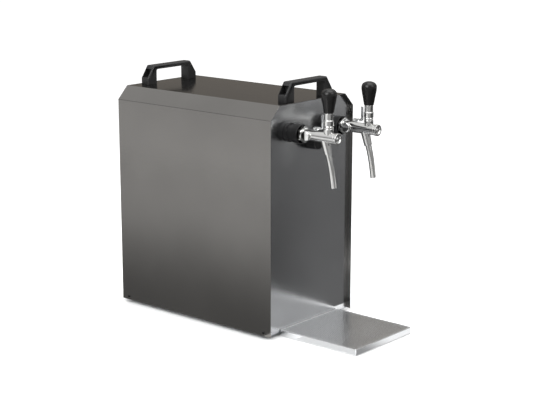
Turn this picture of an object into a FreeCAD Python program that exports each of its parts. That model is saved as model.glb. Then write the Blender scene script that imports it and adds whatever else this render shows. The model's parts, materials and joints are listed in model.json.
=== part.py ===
import FreeCAD, Part
import math
import os

os.makedirs("parts", exist_ok=True)
V = FreeCAD.Vector

# Lengths are millimetres. The front faces -Y, up is +Z and the counter is z = 0.
# Depths are first measured from the middle of the case, then moved to the middle of the footprint.

# Driving sizes of the case
CASE_W = 265.0
CASE_D = 428.0
CASE_H = 470.0
CASE_Z = 7.0
CHAMFER = 27.0
FOLD_R = 2.6
SHEET = 1.2
FIT = 0.1
PANEL_RECESS = 9.0
PANEL_FLANGE = 20.0
TOP = CASE_Z + CASE_H
FRONT_FACE = -CASE_D / 2 + PANEL_RECESS
REAR_FACE = CASE_D / 2 - PANEL_RECESS + 1.0

# Driving sizes of the feet, the base and the screws
FOOT_R = 12.0
FOOT_X = CASE_W / 2 - 37.5
FOOT_Y = CASE_D / 2 - 44.0
FOOT_STEM_R = 4.0
BASE_LIP = 18.0
SCREW_Z = CASE_Z + 7.0
SCREW_Y = CASE_D / 2 - 19.0
SCREW_HEAD_R = 2.9
SCREW_HEAD_H = 1.8
SCREW_R = 1.9

# Driving sizes of the carrying handles
HANDLE_L = 150.0
HANDLE_D = 22.0
HANDLE_BASE_H = 14.0
HANDLE_H = 40.0
HANDLE_TOP_L = HANDLE_L - 36.0
HANDLE_LEG = 26.0
HANDLE_BAR = 8.5
HANDLE_WALL = 2.6
HANDLE_REAR_Y = CASE_D / 2 - 23.0
HANDLE_FRONT_Y = -CASE_D / 2 + 21.0
HANDLE_SCREW_R = 2.4

# Driving sizes of the taps
TAP_X = CASE_W / 2 - 67.5
TAP_Z = TOP - 59.0
BARREL_R = 10.75
SHANK_R = 10.4
SHANK_BORE = 4.5
SHANK_TAIL = FRONT_FACE + 45.0
THREAD_R = 11.45
NUT_FLAT = 30.0
BUSH_END = FRONT_FACE - 17.0
NUT_REAR = BUSH_END - 6.1
NUT_FRONT = NUT_REAR - 18.0
CUP_FRONT = BUSH_END - 16.0
CUP_BORE = 17.75
BARREL_FRONT = FRONT_FACE - 117.0
CAP_FRONT = BARREL_FRONT - 6.5
LEVER_Y = BARREL_FRONT + 18.0
ARM_LEN = 18.0
PIVOT_Z = TAP_Z + ARM_LEN + 2.0
DOME_R = 9.4
FERRULE_R = 9.7
SLEEVE_R = 8.75
STEM_R = 3.0
TIP_R = 2.7
FERRULE_TOP = PIVOT_Z + 29.0
KNOB_H = 48.0
KNOB_TOP = FERRULE_TOP + KNOB_H
STEM_TOP = FERRULE_TOP + 21.0
KNOB_R = 15.5
COMP_Y = NUT_FRONT - 10.1
COMP_R = 4.0
COMP_PLATE_X = 16.2
PIN_R = 1.3
PIN_REACH = 7.0
RUN_FIT = 0.08
SPOUT_R = 5.8
SPOUT_BORE = 4.9
SPOUT_STRAIGHT = 27.0

# Driving sizes of the drip tray
TRAY_W = 188.0
TRAY_D = 194.6
TRAY_REAR = FRONT_FACE - 0.4
TRAY_FRONT = TRAY_REAR - TRAY_D
TRAY_H = 14.0
TRAY_T = 1.0
GRATE_GAP = 0.4
HOLE_R = 2.2
HOLE_COLUMNS = 21
HOLE_ROWS = 25

# Driving sizes of the thermostat
THERMO_Z = TAP_Z - 27.0
THERMO_R = 15.5
THERMO_LEN = 25.0

# Driving sizes of the rear fittings
INLET_X = TAP_X
INLET_Z = TOP - 37.0
INLET_END = REAR_FACE + 22.0
INLET_TUBE_R = 4.75
POWER_X = CASE_W / 2 - 62.5
POWER_Z = 60.0
SWITCH_X = POWER_X - 50.0
SWITCH_TIP = 8.0

# Driving sizes of the cooling works
PUMP_X = -45.0
PUMP_Y = REAR_FACE - 111.0
PUMP_R = 62.0
PUMP_Z = 20.0
PUMP_TOP = 170.0
BLOCK_X = TAP_X + 10.0
BLOCK_Y0 = FRONT_FACE + 27.0
BLOCK_Y1 = FRONT_FACE + (PUMP_Y - FRONT_FACE) * 0.51
BLOCK_Z0 = 32.0
BLOCK_Z1 = TOP - 215.0
FOAM = 20.0
LINE_OUT_Y = BLOCK_Y0 + (BLOCK_Y1 - BLOCK_Y0) * 0.54
LINE_IN_Y = BLOCK_Y0 + (BLOCK_Y1 - BLOCK_Y0) * 0.82
LINE_R = 4.0
LINE_BORE = 3.0
LINE_BEND = 24.0
SOCKET_R = 6.2
SOCKET_DEEP = 11.0
SOCKET_TOP = BLOCK_Z1 + 42.0
SUCTION_X = -30.0
CAPILLARY_X = 30.0
CAPILLARY_R = 2.5
STUB_Y = (LINE_OUT_Y + LINE_IN_Y) / 2
STUB_TOP = BLOCK_Z1 + 38.0
PIPE_R = 3.2
PIPE_BORE = 2.4
SUCTION_Y = PUMP_Y - 69.0
DRIER_Y = PUMP_Y - 50.0
SUCTION_Z = 80.0
COIL_Y0 = REAR_FACE - 104.0
COIL_Y1 = COIL_Y0 + 36.0
COIL_Z0 = PUMP_TOP + 44.0
COIL_Z1 = TOP - 63.0
COIL_X = CASE_W / 2 - 36.5
SIDE_PIPE_X = CASE_W / 2 - 16.5
FAN_R = min(COIL_X, (COIL_Z1 - COIL_Z0) / 2) - 16.0
FAN_Z = (COIL_Z0 + COIL_Z1) / 2

FRAME_Y = -(TRAY_FRONT + INLET_END) / 2


# Helpers for plain solids
def box(x0, x1, y0, y1, z0, z1):
    return Part.makeBox(x1 - x0, y1 - y0, z1 - z0, V(x0, y0, z0))


def rod(start, end, radius):
    way = end - start
    return Part.makeCylinder(radius, way.Length, start, way)


def turned(base, way, profile):
    # profile is a list of (distance along way, radius) pairs, closed back along the axis
    side = V(1, 0, 0) if abs(way.x) < 0.5 else V(0, 1, 0)
    points = [base + way * a + side * r for a, r in profile]
    first = base + way * profile[0][0]
    last = base + way * profile[-1][0]
    points = [first] + points + [last, first]
    kept = [points[0]]
    for point in points[1:]:
        if (point - kept[-1]).Length > 1e-6:
            kept.append(point)
    face = Part.Face(Part.makePolygon(kept))
    return face.revolve(base, way, 360)


def corner(before, at, after, radius):
    a = (before - at).normalize()
    b = (after - at).normalize()
    half = a.getAngle(b) / 2
    cut = radius / math.tan(half)
    inward = (a + b).normalize()
    middle = at + inward * (radius / math.sin(half) - radius)
    return at + a * cut, middle, at + b * cut


def bent_wire(points, radii):
    # radii holds one bend radius for each point between the two ends
    edges = []
    last = points[0]
    for i in range(1, len(points) - 1):
        radius = radii[i - 1]
        if radius <= 0:
            edges.append(Part.makeLine(last, points[i]))
            last = points[i]
            continue
        start, middle, end = corner(points[i - 1], points[i], points[i + 1], radius)
        edges.append(Part.makeLine(last, start))
        edges.append(Part.Arc(start, middle, end).toShape())
        last = end
    edges.append(Part.makeLine(last, points[-1]))
    return Part.Wire(edges)


def closed_wire(points, radii):
    # the ring starts and ends half way along its last side
    mid = (points[-1] + points[0]) * 0.5
    return bent_wire([mid] + points + [mid], radii)


def prism(points, radii, way):
    return Part.Face(closed_wire(points, radii)).extrude(way)


def swept(points, bend, radius):
    wire = bent_wire(points, [bend] * (len(points) - 2))
    ring = Part.makeCircle(radius, points[0], points[1] - points[0])
    return wire.makePipeShell([Part.Wire([ring])], True, False)


def tube(points, bend, outer, inner):
    return swept(points, bend, outer).cut(swept(points, bend, inner))


def hexagon(y0, y1, flat):
    # flats face left and right
    radius = flat / math.sqrt(3)
    points = []
    for i in range(6):
        angle = math.radians(60 * i + 30)
        points.append(V(radius * math.cos(angle), y0, TAP_Z + radius * math.sin(angle)))
    body = Part.Face(Part.makePolygon(points + [points[0]])).extrude(V(0, y1 - y0, 0))
    edge = 1.6
    top = flat / 2
    cone = turned(V(0, y0, TAP_Z), V(0, 1, 0), [
        (0, top), (edge, radius + 0.2), (y1 - y0 - edge, radius + 0.2), (y1 - y0, top)])
    return body.common(cone)


def export(name, shape):
    moved = shape.copy()
    moved.translate(V(0, FRAME_Y, 0))
    moved.exportStep("parts/" + name + ".step")


def export_pair(name, shape):
    for side, x in (("left", -TAP_X), ("right", TAP_X)):
        moved = shape.copy()
        moved.translate(V(x, 0, 0))
        export(side + "_" + name, moved)


# Outline of the case and of everything that fits inside it
def case_points(inset, y, bottom):
    half = CASE_W / 2 - inset
    flat = CASE_W / 2 - CHAMFER - inset * math.tan(math.radians(22.5))
    low = TOP - CHAMFER - inset * math.tan(math.radians(22.5))
    high = TOP - inset
    return [V(-half, y, bottom), V(-half, y, low), V(-flat, y, high),
            V(flat, y, high), V(half, y, low), V(half, y, bottom)]


def case_prism(inset, y0, y1, bottom):
    fold = max(FOLD_R - inset, 0.4)
    radii = [0, fold, fold, fold, fold, 0]
    return prism(case_points(inset, y0, bottom), radii, V(0, y1 - y0, 0))


# The cover is one folded sheet: side, chamfer, top, chamfer, side
def make_cover():
    half = CASE_D / 2
    shell = case_prism(0, -half, half, CASE_Z).cut(case_prism(SHEET, -half - 1, half + 1, CASE_Z - 1))
    for x in (-1, 1):
        for y in (-SCREW_Y, SCREW_Y):
            inner = V(x * (CASE_W / 2 - 5), y, SCREW_Z)
            shell = shell.cut(rod(inner, V(x * (CASE_W / 2 + 1), y, SCREW_Z), SCREW_R + 0.2))
    for x, y in handle_screw_places():
        shell = shell.cut(rod(V(x, y, TOP - 4), V(x, y, TOP + 1), HANDLE_SCREW_R + 0.3))
    return shell


def handle_screw_places():
    reach = HANDLE_L / 2 - HANDLE_LEG / 2
    return [(x, y) for x in (-reach, reach) for y in (HANDLE_FRONT_Y, HANDLE_REAR_Y)]


# Front and rear panels: folded lids that drop into the cover
def panel(face_y, way):
    inset = SHEET + FIT
    bottom = CASE_Z + SHEET + FIT
    depth = face_y + way * PANEL_FLANGE
    low, high = min(face_y, depth), max(face_y, depth)
    solid = case_prism(inset, low, high, bottom)
    inner_low, inner_high = (face_y + SHEET, high + 1) if way > 0 else (low - 1, face_y - SHEET)
    hollow = case_prism(inset + SHEET, inner_low, inner_high, bottom - 1)
    screw_y = -way * SCREW_Y
    holes = [rod(V(-CASE_W / 2, screw_y, SCREW_Z), V(CASE_W / 2, screw_y, SCREW_Z), SCREW_R + 0.2)]
    for x, y in handle_screw_places():
        holes.append(rod(V(x, y, TOP - 6), V(x, y, TOP), HANDLE_SCREW_R + 0.3))
    return solid.cut(hollow).cut(Part.makeCompound(holes))


def make_front_panel():
    shape = panel(FRONT_FACE, 1)
    for x in (-TAP_X, TAP_X):
        shape = shape.cut(rod(V(x, FRONT_FACE - 1, TAP_Z), V(x, FRONT_FACE + 3, TAP_Z), SHANK_R + 0.4))
    return shape.cut(rod(V(0, FRONT_FACE - 1, THERMO_Z), V(0, FRONT_FACE + 3, THERMO_Z), 4.9))


def slot(x, z0, z1, width, y0, y1):
    r = width / 2
    body = box(x - r, x + r, y0, y1, z0 + r, z1 - r)
    body = body.fuse(rod(V(x, y0, z0 + r), V(x, y1, z0 + r), r))
    return body.fuse(rod(V(x, y0, z1 - r), V(x, y1, z1 - r), r))


def make_rear_panel():
    shape = panel(REAR_FACE, -1)
    y0, y1 = REAR_FACE - 3, REAR_FACE + 1
    cuts = []
    pitch = (COIL_Z1 - COIL_Z0 - 20.0) / 3
    for row in range(3):
        for i in range(15):
            z0 = COIL_Z0 + 14 + row * pitch
            cuts.append(slot((i - 7) * 11.0, z0, z0 + pitch - 10.0, 4.0, y0, y1))
    for i in range(9):
        cuts.append(slot(-95 + i * 11.0, 100, 150, 4.0, y0, y1))
    for x in (-INLET_X, INLET_X):
        cuts.append(rod(V(x, y0, INLET_Z), V(x, y1, INLET_Z), 8.2))
    cuts.append(box(POWER_X - 13.7, POWER_X + 13.7, y0, y1, POWER_Z - 10.2, POWER_Z + 10.2))
    cuts.append(box(SWITCH_X - 9.7, SWITCH_X + 9.7, y0, y1, POWER_Z - 6.7, POWER_Z + 6.7))
    for x in rear_screw_places():
        cuts.append(rod(V(x, y0, SCREW_Z + 3), V(x, y1, SCREW_Z + 3), SCREW_R + 0.2))
    return shape.cut(Part.makeCompound(cuts))


def rear_screw_places():
    return [-CASE_W / 2 + 32.5, 0.0, CASE_W / 2 - 32.5]


# Base pan with an upturned lip on all four sides
def make_base_pan():
    half_x = CASE_W / 2 - SHEET - FIT
    front = FRONT_FACE + SHEET + FIT
    rear = REAR_FACE - SHEET - FIT
    top = CASE_Z + BASE_LIP
    inner = half_x - SHEET
    side_gap = PANEL_FLANGE + 1.0
    floor = box(-half_x, half_x, FRONT_FACE, REAR_FACE, CASE_Z, CASE_Z + SHEET)
    lips = [box(-inner + 2, inner - 2, front, front + SHEET, CASE_Z, top),
            box(-inner + 2, inner - 2, rear - SHEET, rear, CASE_Z, top)]
    for x in (-half_x, inner):
        lips.append(box(x, x + SHEET, FRONT_FACE + side_gap, REAR_FACE - side_gap, CASE_Z, top))
    shape = floor.multiFuse(lips)
    tabs = []
    for x in (-1, 1):
        for y in (-SCREW_Y, SCREW_Y):
            x0 = inner - SHEET - FIT * 2 if x > 0 else -inner + FIT * 2
            tabs.append(box(x0, x0 + SHEET, y - 6, y + 6, CASE_Z, top))
    shape = shape.multiFuse(tabs)
    holes = []
    for x in (-1, 1):
        for y in (-SCREW_Y, SCREW_Y):
            holes.append(rod(V(x * (inner - 6), y, SCREW_Z), V(x * (half_x + 1), y, SCREW_Z), SCREW_R + 0.2))
    for x, y in foot_places():
        holes.append(rod(V(x, y, 0), V(x, y, 12), FOOT_STEM_R + 0.1))
    for x in rear_screw_places():
        holes.append(rod(V(x, rear - 4, SCREW_Z + 3), V(x, rear + 2, SCREW_Z + 3), SCREW_R + 0.2))
    return shape.cut(Part.makeCompound(holes)).removeSplitter()


def foot_places():
    return [(x, y) for x in (-FOOT_X, FOOT_X) for y in (-FOOT_Y, FOOT_Y)]


def make_feet():
    feet = []
    for x, y in foot_places():
        feet.append(turned(V(x, y, 0), V(0, 0, 1), [
            (0, FOOT_R - 1.5), (CASE_Z, FOOT_R), (CASE_Z, FOOT_STEM_R),
            (CASE_Z + SHEET + 0.2, FOOT_STEM_R), (CASE_Z + SHEET + 0.2, FOOT_STEM_R + 1.2),
            (CASE_Z + SHEET + 2.5, FOOT_STEM_R - 0.5)]))
    return Part.makeCompound(feet)


# Cross-head screw with its seat at start, its head behind start and its shank along way
def screw(start, way, head_r, head_h, shank_r, length):
    shape = turned(start, way, [(-head_h, head_r * 0.55), (-head_h * 0.55, head_r * 0.92),
                                (0, head_r), (0, shank_r), (length - shank_r * 0.6, shank_r),
                                (length, shank_r * 0.4)])
    side = V(0, 0, 1) if abs(way.z) < 0.5 else V(1, 0, 0)
    other = way.cross(side)
    deep = head_h * 0.6
    for a, b in ((side, other), (other, side)):
        wide, thin = a * (head_r * 0.42), b * 0.35
        at = start - way * (head_h + 0.1)
        ring = [at - wide - thin, at + wide - thin, at + wide + thin, at - wide + thin]
        cut = Part.Face(Part.makePolygon(ring + [ring[0]])).extrude(way * (deep + 0.1))
        shape = shape.cut(cut)
    return shape


def make_cover_screws():
    screws = []
    for x in (-1, 1):
        for y in (-SCREW_Y, SCREW_Y):
            start = V(x * (CASE_W / 2 + 0.05), y, SCREW_Z)
            screws.append(screw(start, V(-x, 0, 0), SCREW_HEAD_R, SCREW_HEAD_H, SCREW_R, 9.0))
    return Part.makeCompound(screws)


def make_rear_screws():
    screws = []
    for x in rear_screw_places():
        start = V(x, REAR_FACE + 0.05, SCREW_Z + 3)
        screws.append(screw(start, V(0, -1, 0), SCREW_HEAD_R, SCREW_HEAD_H, SCREW_R, 8.0))
    return Part.makeCompound(screws)


def make_handle_screws():
    screws = []
    for x, y in handle_screw_places():
        # each screw also clamps the flange of the panel below
        grip = 2 * SHEET + FIT
        start = V(x, y, TOP - grip - 0.05)
        screws.append(screw(start, V(0, 0, 1), 4.4, 2.6, HANDLE_SCREW_R, grip + 10.0))
    return Part.makeCompound(screws)


# Bridge handle with hollow sloped ends
def make_handle(y):
    half, top_half = HANDLE_L / 2, HANDLE_TOP_L / 2
    z0 = TOP + 0.05
    shoulder = TOP + HANDLE_BASE_H
    crest = TOP + HANDLE_H
    y0 = y - HANDLE_D / 2
    ring = [V(-half, y0, z0), V(-half, y0, shoulder), V(-top_half, y0, crest),
            V(top_half, y0, crest), V(half, y0, shoulder), V(half, y0, z0)]
    body = prism(ring, [0, 2.5, 3.0, 3.0, 2.5, 0], V(0, HANDLE_D, 0))
    gap = half - HANDLE_LEG
    under = crest - HANDLE_BAR
    window = prism([V(-gap, y0 - 1, z0 - 1), V(-gap, y0 - 1, under), V(gap, y0 - 1, under),
                    V(gap, y0 - 1, z0 - 1)], [0, 4.0, 4.0, 0], V(0, HANDLE_D + 2, 0))
    body = body.cut(window)
    edges = []
    for edge in body.Edges:
        mid = edge.CenterOfMass
        if mid.z > crest - 0.2 and abs(edge.BoundBox.XLength) > 50:
            edges.append(edge)
    body = body.makeFillet(3.4, edges)
    slope = math.atan2(HANDLE_H - HANDLE_BASE_H, half - top_half)
    drop = HANDLE_WALL / math.cos(slope)
    for side in (-1, 1):
        wall = gap + HANDLE_WALL
        high = crest - HANDLE_BAR + 1.0
        lean = half - (high - shoulder) / math.tan(slope)
        pocket = prism([V(side * wall, y0 + HANDLE_WALL, shoulder + 1.0),
                        V(side * wall, y0 + HANDLE_WALL, high),
                        V(side * (lean + 3), y0 + HANDLE_WALL, high),
                        V(side * (half + 8), y0 + HANDLE_WALL, shoulder + 1.0)],
                       [1.0, 1.0, 0, 0], V(0, HANDLE_D - 2 * HANDLE_WALL, 0))
        body = body.cut(pocket)
    for x, yy in handle_screw_places():
        if yy == y:
            body = body.cut(rod(V(x, y, TOP - 1), V(x, y, TOP + 11.5), HANDLE_SCREW_R + 0.1))
    return body


# Tap pieces are drawn on x = 0 and copied to both sides
def along(y):
    return V(0, y, TAP_Z)


def make_bush():
    start = FRONT_FACE - 0.05
    length = start - CUP_FRONT
    solid = turned(along(start), V(0, -1, 0), [
        (0, 19.2), (5.2, 19.2), (6.0, 18.4), (6.0, 16.8), (length - 16.5, 16.8),
        (length - 16.5, 18.5), (length - 15.7, 19.3), (length - 0.7, 19.3), (length, 18.6)])
    solid = solid.cut(rod(along(BUSH_END), along(CUP_FRONT - 1), CUP_BORE))
    return solid.cut(rod(along(start + 1), along(BUSH_END - 1), SHANK_R + 0.3))


def make_shank():
    shoulder = BUSH_END - 0.05
    solid = rod(along(SHANK_TAIL), along(shoulder), SHANK_R)
    solid = solid.fuse(turned(along(shoulder), V(0, -1, 0), [
        (0, 16.6), (0.8, 17.4), (4.6, 17.4), (5.9, 16.2)]))
    solid = solid.fuse(rod(along(shoulder - 3), along(NUT_REAR - 12.5), THREAD_R))
    solid = solid.fuse(turned(along(SHANK_TAIL + 14.0), V(0, -1, 0), [
        (0, SOCKET_R - 0.6), (0.6, SOCKET_R), (15.0, SOCKET_R)]))
    solid = solid.cut(rod(along(SHANK_TAIL), along(NUT_REAR - 13), SHANK_BORE))
    solid = solid.cut(rod(along(SHANK_TAIL - 1), along(SHANK_TAIL + 15), LINE_BORE))
    mouth = SHANK_TAIL + 14.0
    return solid.cut(rod(along(mouth + 1), along(mouth - SOCKET_DEEP), LINE_R + FIT))


def make_locknut():
    start = FRONT_FACE + SHEET + 0.05
    nut = hexagon(start, start + 8.0, 30.0)
    return nut.cut(rod(along(start - 1), along(start + 9), SHANK_R + 0.1))


def make_nut():
    nut = hexagon(NUT_FRONT, NUT_REAR - 0.1, NUT_FLAT)
    nut = nut.cut(rod(along(NUT_REAR + 1), along(NUT_FRONT + 2.6), THREAD_R + 0.15))
    return nut.cut(rod(along(NUT_REAR), along(NUT_FRONT - 1), 9.6))


def spout_path():
    return [V(0, LEVER_Y + 7.5, TAP_Z - 8.0), V(0, LEVER_Y, TAP_Z - 33.0),
            V(0, LEVER_Y - 7.0, TAP_Z - 55.0), V(0, LEVER_Y - 14.0, TAP_Z - 98.0)]


def make_body():
    tail = NUT_REAR - 12.6
    shape = rod(along(tail), along(NUT_FRONT + 2.7), 11.3)
    shape = shape.fuse(rod(along(tail), along(NUT_FRONT - 3.0), 9.3))
    shape = shape.fuse(turned(along(NUT_FRONT - 0.6), V(0, -1, 0), [
        (0, 9.6), (1.2, BARREL_R), (NUT_FRONT - 0.6 - BARREL_FRONT, BARREL_R)]))
    boss = turned(V(-15.0, COMP_Y, TAP_Z), V(1, 0, 0), [
        (0, 8.9), (1.0, 9.9), (28.7, 9.9), (29.7, 8.9)])
    shape = shape.fuse(boss)
    shape = shape.fuse(rod(V(0, LEVER_Y, TAP_Z), V(0, LEVER_Y, TAP_Z + 16.0), 8.3))
    path = spout_path()
    way = (path[1] - path[0]).normalize()
    sleeve = Part.makeCone(9.2, 8.0, (path[1] - path[0]).Length + 8.0, path[0] - way * 8.0, way)
    shape = shape.fuse(sleeve)
    shape = shape.cut(rod(path[0] - way * 4.0, path[1] + way * 5.0, 6.55))
    shape = shape.cut(rod(along(tail + 1), along(LEVER_Y + 31.0), 6.3))
    shape = shape.cut(rod(along(LEVER_Y + 32.0), along(LEVER_Y + 27.0), 4.2))
    shape = shape.cut(rod(along(LEVER_Y + 28.0), along(BARREL_FRONT - 1), 6.0))
    shape = shape.cut(rod(V(-9.6, COMP_Y, TAP_Z), V(20.0, COMP_Y, TAP_Z), COMP_R + RUN_FIT))
    shape = shape.cut(box(-3.4, 3.4, LEVER_Y - 3.4, LEVER_Y + 9.0, TAP_Z, PIVOT_Z + 2.0))
    return shape


def make_cap():
    length = BARREL_FRONT - CAP_FRONT
    ring = turned(along(BARREL_FRONT - 0.05), V(0, -1, 0), [
        (0, 10.9), (0.8, 11.5), (length - 1.6, 11.5), (length, 10.2)])
    ring = ring.cut(turned(along(CAP_FRONT), V(0, 1, 0), [(-1, 7.6), (0, 7.6), (2.6, 6.6)]))
    ring = ring.fuse(turned(along(CAP_FRONT + 2.6), V(0, -1, 0), [(-0.2, 3.8), (1.2, 3.8), (2.0, 2.6)]))
    return ring.fuse(rod(along(BARREL_FRONT - 1.0), along(BARREL_FRONT + 7.0), 5.9))


def make_comp_lever():
    axle = rod(V(-9.0, COMP_Y, TAP_Z), V(COMP_PLATE_X + 0.5, COMP_Y, TAP_Z), COMP_R)
    axle = axle.cut(rod(V(-4.0, COMP_Y, TAP_Z), V(4.0, COMP_Y, TAP_Z), 5.0).cut(
        rod(V(-5.0, COMP_Y - 1.2, TAP_Z), V(5.0, COMP_Y - 1.2, TAP_Z), 2.4)))
    x = COMP_PLATE_X
    hub = rod(V(x, COMP_Y, TAP_Z), V(x + 2.0, COMP_Y, TAP_Z), 7.0)
    rear, front = COMP_Y - 16.3, COMP_Y - 21.3
    high, low, top = TAP_Z + 15.0, TAP_Z + 10.0, TAP_Z + 41.0
    ring = [V(x, COMP_Y + 4.5, TAP_Z + 2), V(x, COMP_Y + 3.0, high), V(x, rear, high),
            V(x, rear, top), V(x, front, top), V(x, front, low), V(x, COMP_Y - 7, low),
            V(x, COMP_Y - 5, TAP_Z - 3)]
    plate = prism(ring, [0, 4.0, 3.0, 2.0, 2.0, 6.0, 3.0, 0], V(2.0, 0, 0))
    return axle.fuse(hub).fuse(plate)


def make_collar():
    rise = math.sqrt(DOME_R ** 2 - 7.0 ** 2)
    dome = Part.makeSphere(DOME_R, V(0, LEVER_Y, PIVOT_Z))
    foot = PIVOT_Z - 8.2
    neck = TAP_Z + 16.0
    post = rod(V(0, LEVER_Y, foot), V(0, LEVER_Y, PIVOT_Z), DOME_R)
    keep = rod(V(0, LEVER_Y, foot), V(0, LEVER_Y, PIVOT_Z + rise), 12.0)
    shape = post.fuse(dome).common(keep)
    shape = shape.cut(rod(V(0, LEVER_Y, foot - 5.0), V(0, LEVER_Y, neck + 0.05), 8.4))
    shape = shape.cut(rod(V(0, LEVER_Y, neck), V(0, LEVER_Y, PIVOT_Z + 0.5), 5.4))
    shape = shape.cut(Part.makeCone(5.4, 7.05, rise + 0.1, V(0, LEVER_Y, PIVOT_Z), V(0, 0, 1)))
    shape = shape.cut(box(-3.4, 3.4, LEVER_Y, LEVER_Y + 5.8, neck - 1.0, neck + 1.5))
    reach = PIN_REACH + 0.2
    shape = shape.cut(rod(V(-reach, LEVER_Y, PIVOT_Z), V(reach, LEVER_Y, PIVOT_Z), PIN_R + RUN_FIT))
    return shape.cut(rod(along(LEVER_Y + 24.0), along(BARREL_FRONT), BARREL_R + 0.15))


def make_stem():
    ball = Part.makeSphere(5.0, V(0, LEVER_Y, PIVOT_Z))
    shaft = rod(V(0, LEVER_Y, PIVOT_Z), V(0, LEVER_Y, STEM_TOP), STEM_R)
    arm = rod(V(0, LEVER_Y, PIVOT_Z), V(0, LEVER_Y, PIVOT_Z - ARM_LEN), 1.7)
    tip = Part.makeSphere(TIP_R, V(0, LEVER_Y, PIVOT_Z - ARM_LEN))
    pin = rod(V(-PIN_REACH, LEVER_Y, PIVOT_Z), V(PIN_REACH, LEVER_Y, PIVOT_Z), PIN_R)
    return ball.fuse(shaft).fuse(arm).fuse(tip).fuse(pin)


def make_ferrule():
    shape = turned(V(0, LEVER_Y, 0), V(0, 0, 1), [
        (PIVOT_Z + 4.2, FERRULE_R), (PIVOT_Z + 14.4, FERRULE_R), (PIVOT_Z + 15.2, SLEEVE_R),
        (FERRULE_TOP - 0.5, SLEEVE_R), (FERRULE_TOP, SLEEVE_R - 0.5)])
    shape = shape.cut(Part.makeSphere(DOME_R + 0.3, V(0, LEVER_Y, PIVOT_Z)))
    return shape.cut(rod(V(0, LEVER_Y, PIVOT_Z + 2.0), V(0, LEVER_Y, FERRULE_TOP + 3.0), STEM_R + 0.05))


def make_knob():
    base = FERRULE_TOP + 0.05
    widest = KNOB_TOP - KNOB_H * 0.26
    start = V(9.9, LEVER_Y, base + 0.8)
    shoulder = V(KNOB_R, LEVER_Y, widest)
    crown = V(KNOB_R * 0.82, LEVER_Y, KNOB_TOP - 4.2)
    peak = V(0, LEVER_Y, KNOB_TOP)
    dome = Part.BSplineCurve()
    dome.interpolate([start, V(KNOB_R - 2.9, LEVER_Y, base + KNOB_H / 3),
                      V(KNOB_R - 0.8, LEVER_Y, base + KNOB_H * 0.5625), shoulder,
                      V(KNOB_R * 0.965, LEVER_Y, KNOB_TOP - 7.2), crown,
                      V(KNOB_R * 0.5, LEVER_Y, KNOB_TOP - 1.15), peak])
    edges = [Part.makeLine(V(0, LEVER_Y, base), V(9.1, LEVER_Y, base)),
             Part.makeLine(V(9.1, LEVER_Y, base), start), dome.toShape(),
             Part.makeLine(peak, V(0, LEVER_Y, base))]
    shape = Part.Face(Part.Wire(edges)).revolve(V(0, LEVER_Y, 0), V(0, 0, 1), 360)
    return shape.cut(rod(V(0, LEVER_Y, base - 1), V(0, LEVER_Y, STEM_TOP + 0.5), STEM_R + 0.05))


def make_valve():
    shape = rod(along(LEVER_Y + 5.5), along(LEVER_Y - 5.5), 5.92)
    shape = shape.cut(box(-8, 8, LEVER_Y - 3.0, LEVER_Y + 3.0, TAP_Z - 1.4, TAP_Z + 12.0))
    shape = shape.fuse(rod(along(LEVER_Y + 5.0), along(LEVER_Y + 33.0), 2.4))
    disc = turned(along(LEVER_Y + 31.1), V(0, 1, 0), [(0, 5.4), (2.4, 5.4), (4.4, 3.4)])
    return shape.fuse(disc)


def make_spout():
    path = spout_path()
    way = (path[1] - path[0]).normalize()
    start = path[1] - way * 16.0
    knee = path[2] + V(0, -1.6, -8.0)
    way_end = (path[3] - knee).normalize()
    mouth = path[3] - way_end * SPOUT_STRAIGHT
    line = bent_wire([start, path[1] + way * 6.0, knee, mouth], [60.0, 60.0])
    layers = []
    for wide, narrow in ((6.45, SPOUT_R), (5.3, SPOUT_BORE)):
        ring0 = Part.Wire([Part.makeCircle(wide, start, way)])
        ring1 = Part.Wire([Part.makeCircle(narrow, mouth, way_end)])
        bend = line.makePipeShell([ring0, ring1], True, False)
        layers.append(bend.fuse(rod(mouth, path[3], narrow)))
    return layers[0].cut(layers[1])


# Drip tray with a perforated insert that stands on its floor
def rounded_plan(half_x, y0, y1, z, radius, height):
    ring = [V(-half_x, y0, z), V(-half_x, y1, z), V(half_x, y1, z), V(half_x, y0, z)]
    return prism(ring, [radius] * 4, V(0, 0, height))


def make_tray():
    half = TRAY_W / 2
    outer = rounded_plan(half, TRAY_FRONT, TRAY_REAR, 0, 2.0, TRAY_H)
    inner = rounded_plan(half - TRAY_T, TRAY_FRONT + TRAY_T, TRAY_REAR - TRAY_T, TRAY_T, 1.2, TRAY_H)
    return outer.cut(inner)


def make_grate():
    half = TRAY_W / 2 - TRAY_T - GRATE_GAP
    y0 = TRAY_FRONT + TRAY_T + GRATE_GAP
    y1 = TRAY_REAR - TRAY_T - GRATE_GAP
    z0 = TRAY_T + 0.05
    top = TRAY_H - 0.6
    shell = rounded_plan(half, y0, y1, z0, 1.0, top - z0)
    hollow = rounded_plan(half - 1.0, y0 + 1.0, y1 - 1.0, z0 - 1, 0.6, top - z0)
    shell = shell.cut(hollow)
    pitch_x = (2 * half - 17.2) / HOLE_COLUMNS
    pitch_y = (y1 - y0 - 18.6) / HOLE_ROWS
    cuts = []
    for j in range(HOLE_ROWS + 1):
        y = (y0 + y1) / 2 + (j - HOLE_ROWS / 2) * pitch_y
        shift = pitch_x / 2 if j % 2 else 0.0
        count = HOLE_COLUMNS + (0 if j % 2 else 1)
        for i in range(count):
            x = (i - HOLE_COLUMNS / 2) * pitch_x + shift
            cuts.append(Part.makeCylinder(HOLE_R, 4.0, V(x, y, top - 2.5)))
    return shell.cut(Part.makeCompound(cuts))


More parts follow.
